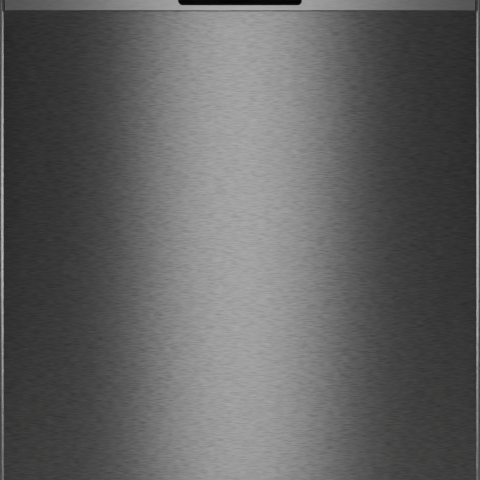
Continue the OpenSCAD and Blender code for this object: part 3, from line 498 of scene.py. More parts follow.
walls, rows, columns = tub_walls()
wall_faces = grid_faces(rows, columns).tolist()
floor_outline = np.array([[-flat_half, tub_front], [flat_half, tub_front],
                          [flat_half, tub_back], [-flat_half, tub_back]])
hole_centres = [((plate_low + plate_high) / 2, 106 * MM), ((cap_low + cap_high) / 2, 32 * MM)]
floor_holes = [ring_outline(centre[:2], radius) for centre, radius in hole_centres]
floor_plate = pressed_plate(floor_outline, floor_holes, 1e-5, 0.6 * MM,
                            lambda a, b, depth: (a, b, tub_floor - depth))
back_plate = (walls[-1], [list(range(columns))])
flange = pressed_plate(round_outline((tub_low[0], tub_low[2]), (tub_high[0], tub_high[2]), 4 * MM),
                       [round_outline((-tub_half, tub_floor), (tub_half, tub_top), tub_corner)], 0.3 * MM,
                       1.4 * MM, lambda a, b, depth: (a, tub_front + depth, b))
tub_shell = add_piece("drawn_tub", *joined([(walls, wall_faces), back_plate]), tub_steel, "tub")
thicken(creased(facing_out(tub_shell), 40), 0.6 * MM).modifiers["sheet_metal"].offset = 1
floor_steel = rolled_stainless("tub_floor_stainless", grain=(14, 900, 900))
tub_base = add_piece("tub_floor_sheet", *floor_plate, floor_steel, "tub", replace=False)
creased(facing_out(tub_base))
tub_flange = add_piece("tub_flange", *flange, tub_steel, "tub", replace=False)
creased(facing_out(tub_flange))

# --- Sides, back, top and brackets ----------------------------------------------------------------
# The sides are painted sheet with two broad pressed panels and a folded front edge. The back and the top
# are galvanised sheet, ribbed against drumming. Two brackets at the front take the worktop's screws.
def folded_edge(lines, radius, first_back, last_back, steps=6):
    """Where a sheet folded back at its ends lies along one axis, and how deep: back edge, quarter bend, flat,
    quarter bend, back edge. An end whose fold is 0 stays flat."""
    turn = np.linspace(0, math.pi / 2, steps + 1)
    place, depth = radius * (1 - np.cos(turn)), radius * (1 - np.sin(turn))
    start, end = lines[0], lines[-1]
    inner = lines[(lines > start + radius) & (lines < end - radius)]
    places, depths = [inner], [0 * inner]
    if first_back:
        places, depths = [[start], start + place, *places], [[first_back], depth, *depths]
    else:
        places, depths = [[start], *places], [[0], *depths]
    if last_back:
        places, depths = [*places, (end - place)[::-1], [end]], [*depths, depth[::-1], [last_back]]
    else:
        places, depths = [*places, [end]], [*depths, [0]]
    return np.concatenate(places), np.concatenate(depths)


def folded_sheet(across, upward, deepest, press=None):
    """A sheet on a grid of both edges' places: its depth is the sum of both folds' depths, up to the deepest,
    plus what is pressed into the flat. Also gives each point's run along the sheet, across its folds."""
    a, b = np.meshgrid(across[0], upward[0])
    depth = np.minimum(across[1][None, :] + upward[1][:, None], deepest)
    if press is not None:
        depth = depth + press(a, b)
    run = np.concatenate([[0], np.cumsum(np.hypot(np.diff(across[0]), np.diff(across[1])))])
    return (a, b, depth), grid_faces(len(upward[0]), len(across[0])), np.broadcast_to(run, a.shape)


def galvanised(name):
    """Hot-dipped zinc on sheet steel: crystal spangles that differ in tone and gloss, with dull blooms."""
    zinc = Finish(name, (0.5, 0.5, 0.5), 1.0, 0.42)
    spangle = zinc.nodes.new("ShaderNodeTexVoronoi")
    spangle.inputs["Scale"].default_value = 130
    zinc.links.new(zinc.place, spangle.inputs["Vector"])
    tone = zinc.nodes.new("ShaderNodeSeparateColor")
    zinc.links.new(spangle.outputs["Color"], tone.inputs["Color"])
    zinc.tint(tone.outputs["Red"], (0.40, 0.41, 0.42), (0.60, 0.61, 0.62))
    zinc.vary_roughness(zinc.noise(14, 2.0), 0.4, 0.47)
    return zinc.bump(tone.outputs["Green"], 0.00001).bump(zinc.noise(6, 1.0), 0.0002)


side_paint = dark_sheet_paint("side_paint", (0.085, 0.086, 0.09))
side_beads = (((-190 * MM, 150 * MM), (240 * MM, 424 * MM)), ((-190 * MM, 456 * MM), (240 * MM, 770 * MM)))
side_fold, sheet_thick = 9 * MM, 0.7 * MM


def pressed_into(beads, depth, radius, ramp):
    """The depth pressed into a sheet at each place: the sum of its round-cornered beads."""
    return lambda a, b: depth * sum(bead(a, b, low, high, radius, ramp) for low, high in beads)


for node, outward in (("left_side_panel", -1), ("right_side_panel", 1)):
    low, high = box_of(node)
    marks_y = [v for b in side_beads for v in (b[0][0], b[1][0])]
    marks_z = [v for b in side_beads for v in (b[0][1], b[1][1])]
    across, upward = (folded_edge(lines_near(low[axis], high[axis], marks, 34 * MM, 40 * MM, 5 * MM),
                                  1.5 * MM, side_fold, 0) for axis, marks in ((1, marks_y), (2, marks_z)))
    skin, faces, run = folded_sheet(across, upward, side_fold,
                                    pressed_into(side_beads, 3 * MM, 30 * MM, 12 * MM))
    outer = high[0] if outward > 0 else low[0]
    points = np.stack([outer - outward * skin[2], skin[0], skin[1]], -1).reshape(-1, 3)
    side = add_piece(node + "_pressed", points, faces, side_paint, node)
    thicken(facing_out(side, (outward, 0, 0)), sheet_thick)

zinc_sheet = galvanised("galvanised_sheet")
low, high = box_of("back_panel")
back_fold, rib_half = 1.4 * MM, 250 * MM
back_beads = tuple(((-rib_half, z * MM), (rib_half, (z + 40) * MM)) for z in (230, 350, 470, 590, 710))
rib_ends = [z for rib in back_beads for z in (rib[0][1], rib[1][1])]
across = folded_edge(lines_near(low[0], high[0], [-rib_half, rib_half], 24 * MM, 50 * MM, 4 * MM),
                     1.5 * MM, back_fold, back_fold, 3)
upward = folded_edge(lines_near(low[2], high[2], rib_ends, 8 * MM, 30 * MM, 3 * MM),
                     1.5 * MM, back_fold, back_fold, 3)
skin, faces, run = folded_sheet(across, upward, back_fold,
                                pressed_into(back_beads, 2.5 * MM, 19 * MM, 8 * MM))
points = np.stack([skin[0], high[1] - skin[2], skin[1]], -1).reshape(-1, 3)
back = add_piece("back_panel_pressed", points, faces, zinc_sheet, "back_panel")
thicken(facing_out(back, (0, 1, 0)), sheet_thick)

low, high = box_of("top_cover")
top_fold, rib_front, rib_back = 1.3 * MM, -180 * MM, 240 * MM
top_beads = tuple(((x * MM, rib_front), ((x + 90) * MM, rib_back)) for x in (-230, -110, 20, 140))
rib_ends = [x for rib in top_beads for x in (rib[0][0], rib[1][0])]
across = folded_edge(lines_near(low[0], high[0], rib_ends, 24 * MM, 40 * MM, 4 * MM),
                     1.2 * MM, top_fold, top_fold, 3)
upward = folded_edge(lines_near(low[1], high[1], [rib_front, rib_back], 24 * MM, 40 * MM, 4 * MM),
                     1.2 * MM, top_fold, top_fold, 3)
skin, faces, run = folded_sheet(across, upward, top_fold, pressed_into(top_beads, 3 * MM, 18 * MM, 9 * MM))
points = np.stack([skin[0], skin[1], high[2] - skin[2]], -1).reshape(-1, 3)
top = add_piece("top_cover_pressed", points, faces, zinc_sheet, "top_cover")
thicken(facing_out(top, (0, 0, 1)), sheet_thick)
moulded("worktop_brackets", zinc_sheet, 0.35 * MM)

# --- Sound mats -----------------------------------------------------------------------------------
# A bonded fibre mat wraps the tub, and a heavy bitumen mat is stuck behind the door's outer panel. Both
# are cut from the roll, so their faces are rough and their edges only a little worn.
felt = Finish("fibre_mat", (0.09, 0.09, 0.095), 0.0, 0.95, sheen_weight=0.3)
fibres = felt.noise(700, 6.0)
felt.tint(felt.spread(fibres, 0.35, 0.65), (0.035, 0.035, 0.038), (0.17, 0.17, 0.18))
felt.bump(fibres, 0.0006).bump(felt.noise(45, 4.0), 0.002)
moulded("tub_insulation", felt, 1.5 * MM)
bitumen = Finish("bitumen_mat", (0.018, 0.018, 0.018), 0.0, 0.62)
tar = bitumen.noise(260, 5.0)
bitumen.tint(tar, (0.011, 0.011, 0.011), (0.035, 0.034, 0.033))
bitumen.bump(tar, 0.0004).bump(bitumen.noise(14, 3.0), 0.002)
moulded("door_insulation", bitumen, 1.2 * MM)

# --- Door seal ------------------------------------------------------------------------------------
# An extruded rubber seal runs up both sides of the tub's mouth and across its top: a hollow bulb with a
# thin lip that the door presses back. A second lip is fixed along the door's lower edge.
rubber = Finish("seal_rubber", (0.016, 0.016, 0.017), 0.0, 0.58)
bloom = rubber.noise(30, 5.0)
rubber.tint(bloom, (0.011, 0.011, 0.012), (0.028, 0.028, 0.029))
rubber.vary_roughness(bloom, 0.48, 0.7).bump(rubber.noise(900, 2.0), 0.00002)


def bent_path(corners, bend, closed=False, steps=5):
    """Straight runs joined by bends: at each corner a curve leaves the incoming run a bend's length before it
    and meets the outgoing run as far after it, by the square rule (1-t)^2, 2t(1-t), t^2."""
    corners = np.asarray(corners, float)
    before, after = corners - np.roll(corners, 1, 0), np.roll(corners, -1, 0) - corners
    if not closed:
        before[0], after[-1] = after[0], before[-1]
    b, a = (np.linalg.norm(side, axis=1, keepdims=True) for side in (before, after))
    reach = np.minimum(bend, 0.45 * np.minimum(a, b))
    if not closed:
        reach[[0, -1]] = 0
    enter, leave = corners - before / b * reach, corners + after / a * reach
    t = np.linspace(0, 1, steps)[None, :, None]
    curve = (1 - t) ** 2 * enter[:, None] + 2 * t * (1 - t) * corners[:, None] + t * t * leave[:, None]
    curve = curve.reshape(-1, 3)
    return curve if closed else curve[steps - 1:len(curve) - steps + 1]


def carried(section, path, reference, closed=False):
    """A closed section, given across and along a reference direction, carried along a path: each ring stands
    square to the path, which runs along the difference of its neighbours."""
    path, reference = np.asarray(path, float), np.asarray(reference, float)
    ahead = np.roll(path, -1, 0) - np.roll(path, 1, 0)
    if not closed:
        ahead[0], ahead[-1] = path[1] - path[0], path[-1] - path[-2]
    ahead /= np.linalg.norm(ahead, axis=1, keepdims=True)
    across = np.cross(ahead, reference)
    across /= np.linalg.norm(across, axis=1, keepdims=True)
    along = np.cross(across, ahead)
    section = np.asarray(section, float)
    if section.ndim == 2:
        section = np.broadcast_to(section, (len(path), *section.shape))
    points = path[:, None] + section[..., :1] * across[:, None] + section[..., 1:] * along[:, None]
    rows, columns = points.shape[:2]
    return points.reshape(-1, 3), (grid_faces(rows, columns, True, True).tolist() if closed
                                   else tube_faces(rows, columns))


low, high = box_of("door_gasket")
bulb_half, bulb_deep = 2.6 * MM, (high[1] - low[1]) / 2 - 0.1 * MM
turn = np.linspace(0, 2 * math.pi, 20, endpoint=False)
bulb = np.stack([bulb_half * np.cos(turn), bulb_deep * np.sin(turn)], -1)
bulb[:, 0] *= np.where(np.sin(turn) < -0.2, 0.72, 1.0)
bulb_size = [bulb_half, bulb_deep]
lip = np.array([[-0.4, -0.75], [1.4, -0.98], [2.05, -0.86], [1.9, -0.7], [0.2, -0.45]]) * bulb_size
seat = np.array([[-0.9, 0.55], [0.9, 0.55], [1.0, 0.98], [-1.0, 0.98]]) * bulb_size
line_x, line_top = high[0] - 2.9 * MM, high[2] - 2.9 * MM
route = bent_path([(line_x, 0, low[2]), (line_x, 0, line_top), (-line_x, 0, line_top), (-line_x, 0, low[2])],
                  12 * MM, steps=8) + np.array([0, (low[1] + high[1]) / 2, 0])
seal = joined([carried(shape, route, (0, 1, 0)) for shape in (bulb, lip, seat)])
facing_out(creased(add_piece("door_seal_bulb", *seal, rubber, "door_gasket"), 50))
moulded("door_bottom_seal", rubber, 0.8 * MM)

# --- Water system ---------------------------------------------------------------------------------
# Under the tub hang the moulded sump, the pumps and the salt softener, with the inlet valve and the mains
# socket in the back of the base. A flat duct climbs the back wall to feed the upper arms.
grey_plastic = moulded_plastic("grey_plastic", (0.3, 0.31, 0.325), 0.46)
light_plastic = moulded_plastic("light_plastic", (0.68, 0.68, 0.65), 0.42)
for node, plastic, edge in (("sump", grey_plastic, 1.0), ("circulation_pump", black_plastic, 1.0),
                            ("drain_pump", black_plastic, 0.8), ("water_softener", light_plastic, 1.5),
                            ("water_feed_pipe", grey_plastic, 1.5), ("inlet_valve", light_plastic, 0.7),
                            ("mains_inlet", black_plastic, 0.6), ("pump_impeller", light_plastic, 0.4),
                            ("salt_cap", light_plastic, 1.0)):
    moulded(node, plastic, edge * MM)


def perforated_steel_with_hole_shade(name, pitch):
    """Etched filter steel: a square grid of round holes, painted dark where a place is near its cell's
    middle: painted shade that stands for what is seen through each hole.
    """
    mesh = Finish(name, (0.5, 0.5, 0.5), 1.0, 0.34)
    cells = mesh.nodes.new("ShaderNodeTexVoronoi")
    cells.inputs["Scale"].default_value = 1 / pitch
    cells.inputs["Randomness"].default_value = 0
    mesh.links.new(mesh.place, cells.inputs["Vector"])
    hole = mesh.spread(cells.outputs["Distance"], 0.3, 0.38)
    # Painted shade: each hole is a near-black spot in the colour of a solid sheet, not an opening.
    mesh.tint(hole, (0.015, 0.015, 0.016), (0.6, 0.6, 0.6))
    return mesh.bump(hole, 0.0002)


def filter_disc(low, high, holes, crown=0.4 * MM):
    """A round sheet with round openings, whose edges roll down by a quarter circle."""
    centre, radius = (low + high)[:2] / 2, (high[0] - low[0]) / 2
    return pressed_plate(ring_outline(centre, radius, 96), [ring_outline(*hole) for hole in holes], crown,
                         high[2] - low[2], lambda a, b, depth: (a, b, high[2] - depth))


filter_low, filter_high = box_of("filter_cylinder")
arm_low, arm_high = box_of("lower_spray_arm")
hub_place = (arm_low + arm_high) / 2
cup_r = (filter_high[0] - filter_low[0]) / 2
flat_filter = add_piece("flat_filter_sheet", *filter_disc(plate_low, plate_high, [
    (((filter_low + filter_high) / 2)[:2], cup_r + 1 * MM), (hub_place[:2], 17.6 * MM)]),
    perforated_steel_with_hole_shade("flat_filter_mesh", 2.2 * MM), "filter_plate")
facing_out(flat_filter)
flat_kept(creased(flat_filter, 50))
moulded("filter_cylinder", grey_plastic, 0.8 * MM)

# --- Rack wires -----------------------------------------------------------------------------------
# Both racks are hoops of steel wire, bent cold, crossed and spot welded, with a stout rim, all dipped in
# grey nylon. Single tines stand on the floor wires, and a dished grip is clipped to each front rim.
nylon = Finish("grey_nylon_coat", (0.36, 0.37, 0.385), 0.0, 0.34, coat_weight=0.15, coat_roughness=0.2)
runs = nylon.noise(55, 4.0, (1, 1, 0.4))
nylon.tint(nylon.spread(runs), (0.31, 0.32, 0.335), (0.42, 0.43, 0.445))
nylon.vary_roughness(nylon.noise(210, 3.0), 0.27, 0.43).bump(runs, 0.0003)
nylon.bump(nylon.noise(600, 1.0), 0.00003)


def wire(corners, radius, bend=8 * MM, reference=(0, 1, 0), closed=False, sides=8):
    """A round wire bent at its corners; an open one ends in small domes, each ring narrower by the cosine and
    further out by the sine."""
    path = bent_path(corners, bend, closed)
    scale = np.ones(len(path))
    if not closed:
        turn = np.array([0.0, 0.8, 1.35])
        ends = [(path[-1] - path[-2]), (path[0] - path[1])]
        ends = [e / np.linalg.norm(e) * radius for e in ends]
        tail = path[-1] - ends[0] + np.sin(turn)[:, None] * ends[0]
        head = (path[0] - ends[1] + np.sin(turn)[:, None] * ends[1])[::-1]
        path = np.concatenate([head, path[1:-1], tail])
        scale = np.concatenate([np.cos(turn)[::-1], np.ones(len(path) - 6), np.cos(turn)])
    angle = np.linspace(0, 2 * math.pi, sides, endpoint=False)
    ring = radius * np.stack([np.cos(angle), np.sin(angle)], -1)
    return carried(ring[None] * scale[:, None, None], path, reference, closed)


def spaced(first, last, pitch):
    """Evenly spaced places from first to last, about a pitch apart."""
    return np.linspace(first, last, max(1, int((last - first) / pitch + 0.5)) + 1)


def dished_cap(low, high, corner, edge, dish):
    """A key or grip face towards -Y: nested round-cornered rings climb the skirt, roll over the edge and sink
    to the middle, each deeper as the square of how far in it lies."""
    middle, half = (low + high)[[0, 2]] / 2, (high - low)[[0, 2]] / 2
    turn = np.linspace(0, math.pi / 2, 5)
    base = round_outline(tuple(middle - half), tuple(middle + half), corner)
    rings = [base] + [moved_out(base, -edge * (1 - math.cos(t))) for t in turn]
    depths = [high[1] - low[1]] + [edge * (1 - math.sin(t)) for t in turn]
    for inward in np.linspace(0.12, 0.95, 7):
        rings.append(middle + (rings[5] - middle) * (1 - inward))
        depths.append(dish * (1 - (1 - inward) ** 2))
    points = np.concatenate([np.column_stack([ring[:, 0], np.full(len(ring), low[1] + depth), ring[:, 1]])
                             for ring, depth in zip(rings, depths)])
    return points, tube_faces(len(rings), len(base))


thick, thin, pitch = 2.2 * MM, 1.6 * MM, 35 * MM
upper_low, upper_high = box_of("upper_rack")
lower_high = box_of("lower_rack")[1]
rack_half = upper_high[0] - thick
rack_front, rack_back = upper_low[1] + thick + 3.1 * MM, upper_high[1] - thick
row_step, tine_gap = 2 * thick + 0.1 * MM, rack_half / 4
cross_ys, long_xs = spaced(rack_front, rack_back, pitch), spaced(-rack_half, rack_half, 2 * pitch)


def rack(floor_z, wall, front_wall, tine_xs, tine_height):
    """All of one rack's wires: hoops across, hoops from front to back on top of them, the rim, and tines."""
    top, front_top, upper = floor_z + wall, floor_z + front_wall, floor_z + row_step
    edge, dip = rack_half, rack_half - 30 * MM
    hoops = [(y, thin) for y in cross_ys[1:-1]] + [(rack_front, thick), (rack_back, thick)]
    parts = [wire([(-edge, y, top), (-edge, y, floor_z), (edge, y, floor_z), (edge, y, top)], radius)
             for y, radius in hoops]
    parts += [wire([(x, rack_front, front_top), (x, rack_front, upper), (x, rack_back, upper),
                    (x, rack_back, top)], thin, reference=(1, 0, 0)) for x in long_xs[1:-1]]
    parts.append(wire([(-edge, rack_back, top), (-edge, rack_front, top), (-dip, rack_front, front_top),
                       (dip, rack_front, front_top), (edge, rack_front, top), (edge, rack_back, top)],
                      thick, 12 * MM, (0.02, 0.03, 1), closed=True))
    parts += [wire([(x, y, floor_z), (x, y, floor_z + tine_height)], thin, 0, sides=6)
              for x in tine_xs for y in cross_ys if rack_front + 20 * MM < y < rack_back - 20 * MM]
    return parts


def rack_grip(half, top, height):
    """The dished grip in front of the front rim, of a half width and a height, below a level."""
    low = np.array([-half, rack_front - thick - 3.1 * MM, top - height])
    high = np.array([half, rack_front - thick - 0.1 * MM, top])
    return dished_cap(low, high, 8 * MM, 1.2 * MM, 1.1 * MM)


lower_floor = lower_high[2] - thick - 128 * MM
for node, wires, grip in (
        ("upper_rack",
         rack(upper_low[2] + thick, 105 * MM, 85 * MM, (1.2 * tine_gap, 2.4 * tine_gap), 52 * MM),
         rack_grip(80 * MM, upper_high[2] - thick - 18 * MM, 28 * MM)),
        ("lower_rack",
         rack(lower_floor, 128 * MM, 103 * MM, (-3 * tine_gap, -0.9 * tine_gap), 88 * MM),
         rack_grip(70 * MM, lower_floor + 104 * MM, 28 * MM))):
    facing_out(add_piece(node + "_wires", *joined(wires), nylon, node))
    rack_handle = add_piece(node + "_grip", *grip, grey_plastic, node, replace=False)
    flat_kept(creased(facing_out(rack_handle), 60))

# --- Wheel carriers and wheels --------------------------------------------------------------------
# Four moulded carriers under the lower rack hold the axles. Each wheel is a turned ring with a rolled
# tread, a thin web and six ribs, and runs free on its axle.
wheel_boxes = [box_of(node) for node in ("front_wheels", "rear_wheels")]
wheel_r = (wheel_boxes[0][1][2] - wheel_boxes[0][0][2]) / 2
wheel_z = (wheel_boxes[0][1][2] + wheel_boxes[0][0][2]) / 2
wheel_ys = [(low[1] + high[1]) / 2 for low, high in wheel_boxes]
wheel_out, wheel_wide, axle_r = wheel_boxes[0][1][0], 9.6 * MM, 4 * MM


def bars(lows, highs):
    """Many square bars at once: each low and high corner gives eight points, a set of low or high by axis."""
    lows, highs = np.asarray(lows, float), np.asarray(highs, float)
    pick = np.array([[i & 1, i >> 1 & 1, i >> 2 & 1] for i in range(8)])
    points = np.where(pick[None], highs[:, None], lows[:, None]).reshape(-1, 3)
    side = np.array([[0, 2, 3, 1], [4, 5, 7, 6], [0, 1, 5, 4], [2, 6, 7, 3], [0, 4, 6, 2], [1, 3, 7, 5]])
    return points, (side[None] + 8 * np.arange(len(lows))[:, None, None]).reshape(-1, 4).tolist()


def softened(piece, radius):
    """Rounds the piece's sharp edges by a small bevel."""
    rounding = piece.modifiers.new("rounded_edges", "BEVEL")
    rounding.width, rounding.segments, rounding.use_clamp_overlap = radius, 1, False
    rounding.limit_method, rounding.angle_limit = "ANGLE", math.radians(40)
    return flat_kept(piece)


parts = []
for side in (-1, 1):
    for y in wheel_ys:
        inner, outer = rack_half - 9 * MM, rack_half - 5 * MM
        xs = sorted((side * inner, side * outer))
        parts.append(bars([(xs[0], y - 9 * MM, wheel_z - 7 * MM)],
                          [(xs[1], y + 9 * MM, lower_floor - thick)]))
        xs = sorted((side * (rack_half - 8 * MM), side * (wheel_out + 0.4 * MM)))
        parts.append(turned([(axle_r * 0.8, xs[0]), (axle_r, xs[0] + 0.6 * MM), (axle_r, xs[1] - 0.6 * MM),
                             (axle_r * 0.8, xs[1])], (0, y, wheel_z), "x", 24))
carriers = add_piece("wheel_carriers", *joined(parts), grey_plastic, "lower_rack", replace=False)
softened(creased(facing_out(carriers)), 0.5 * MM)

wheel_section = np.array([(4.06, 0.3), (7, 0), (7.4, 2.6), (12.2, 3), (12.8, 0.5), (13.6, 0), (16.2, 0),
                          (17, 1), (17, 8.6), (16.2, 9.6), (13.6, 9.6), (12.8, 9.1), (12.2, 6.6), (7.4, 7),
                          (7, 9.6), (4.06, 9.3)]) * MM
wheel_section[:, 0] *= wheel_r / (17 * MM)
for node, y in zip(("front_wheels", "rear_wheels"), wheel_ys):
    parts = []
    for side in (-1, 1):
        section = np.column_stack([wheel_section[:, 0],
                                   side * (wheel_out - wheel_wide + wheel_section[:, 1])])
        parts.append(turned(section, (0, y, wheel_z), "x", 40, ring=True))
        x0, x1 = sorted((side * (wheel_out - wheel_wide + 1.2 * MM), side * (wheel_out - 1.2 * MM)))
        rib, rib_faces = bars([(x0, 7 * MM, -0.8 * MM)], [(x1, 12.8 * MM, 0.8 * MM)])
        for t in np.linspace(0, 2 * math.pi, 6, endpoint=False):
            turned_rib = np.stack([rib[:, 0], y + rib[:, 1] * math.cos(t) - rib[:, 2] * math.sin(t),
                                   wheel_z + rib[:, 1] * math.sin(t) + rib[:, 2] * math.cos(t)], -1)
            parts.append((turned_rib, rib_faces))
    creased(facing_out(add_piece(node + "_turned", *joined(parts), grey_plastic, node)), 40)

# --- Folding tines and cup shelf ------------------------------------------------------------------
# A row of tines is welded to a rod of its own, which turns in the rack's floor wires so the row lies flat.
# The cup shelf hooks over a side wire of the upper rack and folds up against it.
low, high = box_of("lower_tines")
rod_x, rod_z = (low[0] + high[0]) / 2, low[2] + thick
tine_ys = ((cross_ys[:-1] + cross_ys[1:]) / 2)[1:-1]
parts = [wire([(rod_x, low[1], rod_z), (rod_x, high[1], rod_z)], thick, 0, (0, 0, 1))]
parts += [wire([(rod_x, y, rod_z), (rod_x, y, high[2])], thin, 0, sides=6) for y in tine_ys]
facing_out(add_piece("folding_tine_row", *joined(parts), nylon, "lower_tines"))

low, high = box_of("cup_shelf")
shelf_x, shelf_z = -rack_half + 10 * MM, high[2] - thick
wire_xs = shelf_x + np.arange(5) * 24 * MM
parts = [wire([(x, low[1], shelf_z), (x, high[1], shelf_z)], thin if i else thick, 0, (0, 0, 1))
         for i, x in enumerate(wire_xs)]
under = shelf_z - thick - thin
parts += [wire([(wire_xs[0] - 2 * MM, y, under), (wire_xs[-1] + 2 * MM, y, under)], thin, 0)
          for y in spaced(low[1] + 8 * MM, high[1] - 8 * MM, 60 * MM)]
facing_out(add_piece("cup_shelf_wires", *joined(parts), nylon, "cup_shelf"))

# --- Cutlery basket -------------------------------------------------------------------------------
# A moulded basket of open lattice: a square rim, upright slats and thin bands on every wall, six cells
# divided by lattice walls, a slatted floor, and a carrying handle over the middle.
low, high = box_of("cutlery_basket")
basket_top, slat, band = low[2] + 125 * MM, 2.4 * MM, 2.4 * MM
wall = 2 * MM


def lattice_wall(start, end, at, axis, slats_apart=8.2 * MM, bands_apart=17 * MM):
    """A wall along an axis (0 for X, 1 for Y): upright slats, level bands, square rims top and bottom."""
    places = spaced(start, end - slat, slats_apart)
    levels = spaced(low[2] + 5 * MM, basket_top - 6 * MM, bands_apart)[1:-1]
    rows = [(p, p + slat, low[2] + 1 * MM, basket_top - 1 * MM, 0.3 * MM) for p in places]
    rows += [(start, end, z, z + band, 0.45 * MM) for z in levels]
    rows += [(start, end, low[2], low[2] + 6 * MM, 0), (start, end, basket_top - 7 * MM, basket_top, 0)]
    rows = np.array(rows)
    shape = np.zeros((2, len(rows), 3))
    shape[0, :, axis], shape[1, :, axis] = rows[:, 0], rows[:, 1]
    shape[0, :, 1 - axis], shape[1, :, 1 - axis] = at + rows[:, 4], at + wall - rows[:, 4]
    shape[0, :, 2], shape[1, :, 2] = rows[:, 2], rows[:, 3]
    return bars(shape[0], shape[1])


long_walls, short_walls = spaced(low[0], high[0] - wall, 41 * MM), spaced(low[1], high[1] - wall, 79 * MM)
parts = [lattice_wall(low[1], high[1], x, 1) for x in long_walls]
parts += [lattice_wall(low[0], high[0], y, 0) for y in short_walls]
floor_ys = spaced(low[1], high[1] - slat, 8.2 * MM)
parts.append(bars([(low[0], y, low[2]) for y in floor_ys],
                  [(high[0], y + slat, low[2] + 2 * MM) for y in floor_ys]))
basket = add_piece("cutlery_lattice", *joined(parts), grey_plastic, "cutlery_basket")
softened(basket, 0.35 * MM)
middle = (low + high) / 2
foot_z, hold_z, half_span = basket_top - 8 * MM, high[2] - 3.6 * MM, 52 * MM
grip_path = bent_path([(middle[0], middle[1] + side * half_span, z) for side, z in
                       ((-1, foot_z), (-1, hold_z), (1, hold_z), (1, foot_z))], 14 * MM, steps=9)
swell = np.clip((grip_path[:, 2] - basket_top) / (40 * MM), 0, 1)[:, None, None]
turn = np.linspace(0, 2 * math.pi, 16, endpoint=False)
oval = np.stack([np.cos(turn) * 3.4 * MM, np.sin(turn) * 1.1 * MM], -1)
round_section = oval[None] * np.concatenate([1 + 0 * swell, 1 + 2.2 * swell], -1)
handle = add_piece("basket_handle", *carried(round_section, grip_path, (1, 0, 0)), grey_plastic,
                   "cutlery_basket", replace=False)
creased(facing_out(handle), 50)

# --- Spray arms -----------------------------------------------------------------------------------
# Each arm is two moulded half shells welded along their edges: two swept blades that thin towards their
# rounded tips, a ring round the hub, and raised nozzle eyes that throw the water up or down.
arm_plastic = moulded_plastic("arm_plastic", (0.33, 0.34, 0.355), 0.4)


def blade(reach, bottom, top):
    """Half an arm: from hub to tip the middle line swings a little and back, the half width falls from 18 to
    12 mm and closes by a half circle, and the section is a flattened oval of power 2.6."""
    tip_r, round_steps = 12 * MM, 28
    tip_start = reach - tip_r
    run = np.concatenate([np.linspace(6 * MM, tip_start, 26),
                          tip_start + tip_r * np.sin(np.linspace(0.15, 1.5, 8))])
    part = run / reach
    middle = -6 * MM * np.sin(np.clip(part / 0.9, 0, 1) * math.pi) + 2 * MM * part
    width = (18 - 6 * np.clip(part / 0.92, 0, 1)) * MM
    tip = np.clip((run - tip_start) / tip_r, 0, 1)
    width = width * np.sqrt(1 - tip ** 2)
    half_deep = (top - bottom) / 2 * (1 - 0.25 * part) * (1 - 0.6 * tip ** 3)
    turn = np.linspace(0, 2 * math.pi, round_steps, endpoint=False)
    circle = np.stack([np.cos(turn), np.sin(turn)], -1)
    oval = np.sign(circle) * np.abs(circle) ** (2 / 2.6)
    x = np.broadcast_to(run[:, None], (len(run), round_steps))
    y = middle[:, None] + width[:, None] * oval[None, :, 0]
    z = (top + bottom) / 2 + half_deep[:, None] * oval[None, :, 1]
    points = np.stack([x, y, z], -1).reshape(-1, 3)
    return points, tube_faces(len(run), round_steps), (run, middle, half_deep)


def spray_arm(node, bore, nozzles):
    """Two blades half a turn apart, the hub ring, and nozzle eyes turned as rings with a sunk throat."""
    low, high = box_of(node)
    centre = (low + high) / 2
    reach = (high[0] - low[0]) / 2 - 0.2 * MM
    bottom, top = low[2] + 0.8 * MM, high[2] - 1.1 * MM
    parts = []
    shape, faces, (run, middle, half_deep) = blade(reach, bottom, top)
    for side in (1, -1):
        parts.append((shape * [side, side, 1] + [centre[0], centre[1], 0], faces))
        for place in nozzles:
            at = place * reach
            y = np.interp(at, run, middle) + (4 * MM if place > 0.5 else -4 * MM)
            face_z = (top + bottom) / 2 + np.interp(at, run, half_deep)
            eye = [(3.6 * MM, -0.6 * MM), (3.3 * MM, 0.5 * MM), (2.5 * MM, 0.9 * MM), (1.7 * MM, 0.5 * MM),
                   (1.3 * MM, -0.1 * MM), (0.4 * MM, -0.2 * MM)]
            parts.append(turned(eye, (centre[0] + side * at, centre[1] + side * y, face_z), "z", 14))
    bore_r, ring_r = bore + 0.06 * MM, bore + 13.5 * MM
    section = np.array([(bore_r, low[2]), (ring_r - 1.5 * MM, low[2]), (ring_r, low[2] + 1.5 * MM),
                        (ring_r, high[2] - 2 * MM), (ring_r - 2 * MM, high[2]), (bore_r, high[2])])
    parts.append(turned(section, (centre[0], centre[1], 0), ring=True))
    piece = add_piece(node + "_shells", *joined(parts), arm_plastic, node)
    return creased(facing_out(piece), 40)


for node in ("lower_spray_arm", "upper_spray_arm"):
    spray_arm(node, 8 * MM, (0.2, 0.34, 0.48, 0.62, 0.76, 0.9))
spray_arm("ceiling_spray_arm", 7 * MM, (0.38, 0.62, 0.85))
moulded("upper_spray_feed", grey_plastic, 1 * MM)

# --- Rails ----------------------------------------------------------------------------------------
# The lower rack's wheels run on folded ledges, and the upper rack hangs on two roll-formed telescopic
# slides. Both are bright stainless, drawn along their length.
rail_steel = rolled_stainless("rail_stainless", 0.64, 0.22, (900, 14, 900))
for node in ("lower_rails", "upper_rails", "rail_sliders", "rack_carriers"):
    moulded(node, rail_steel, 0.3 * MM)

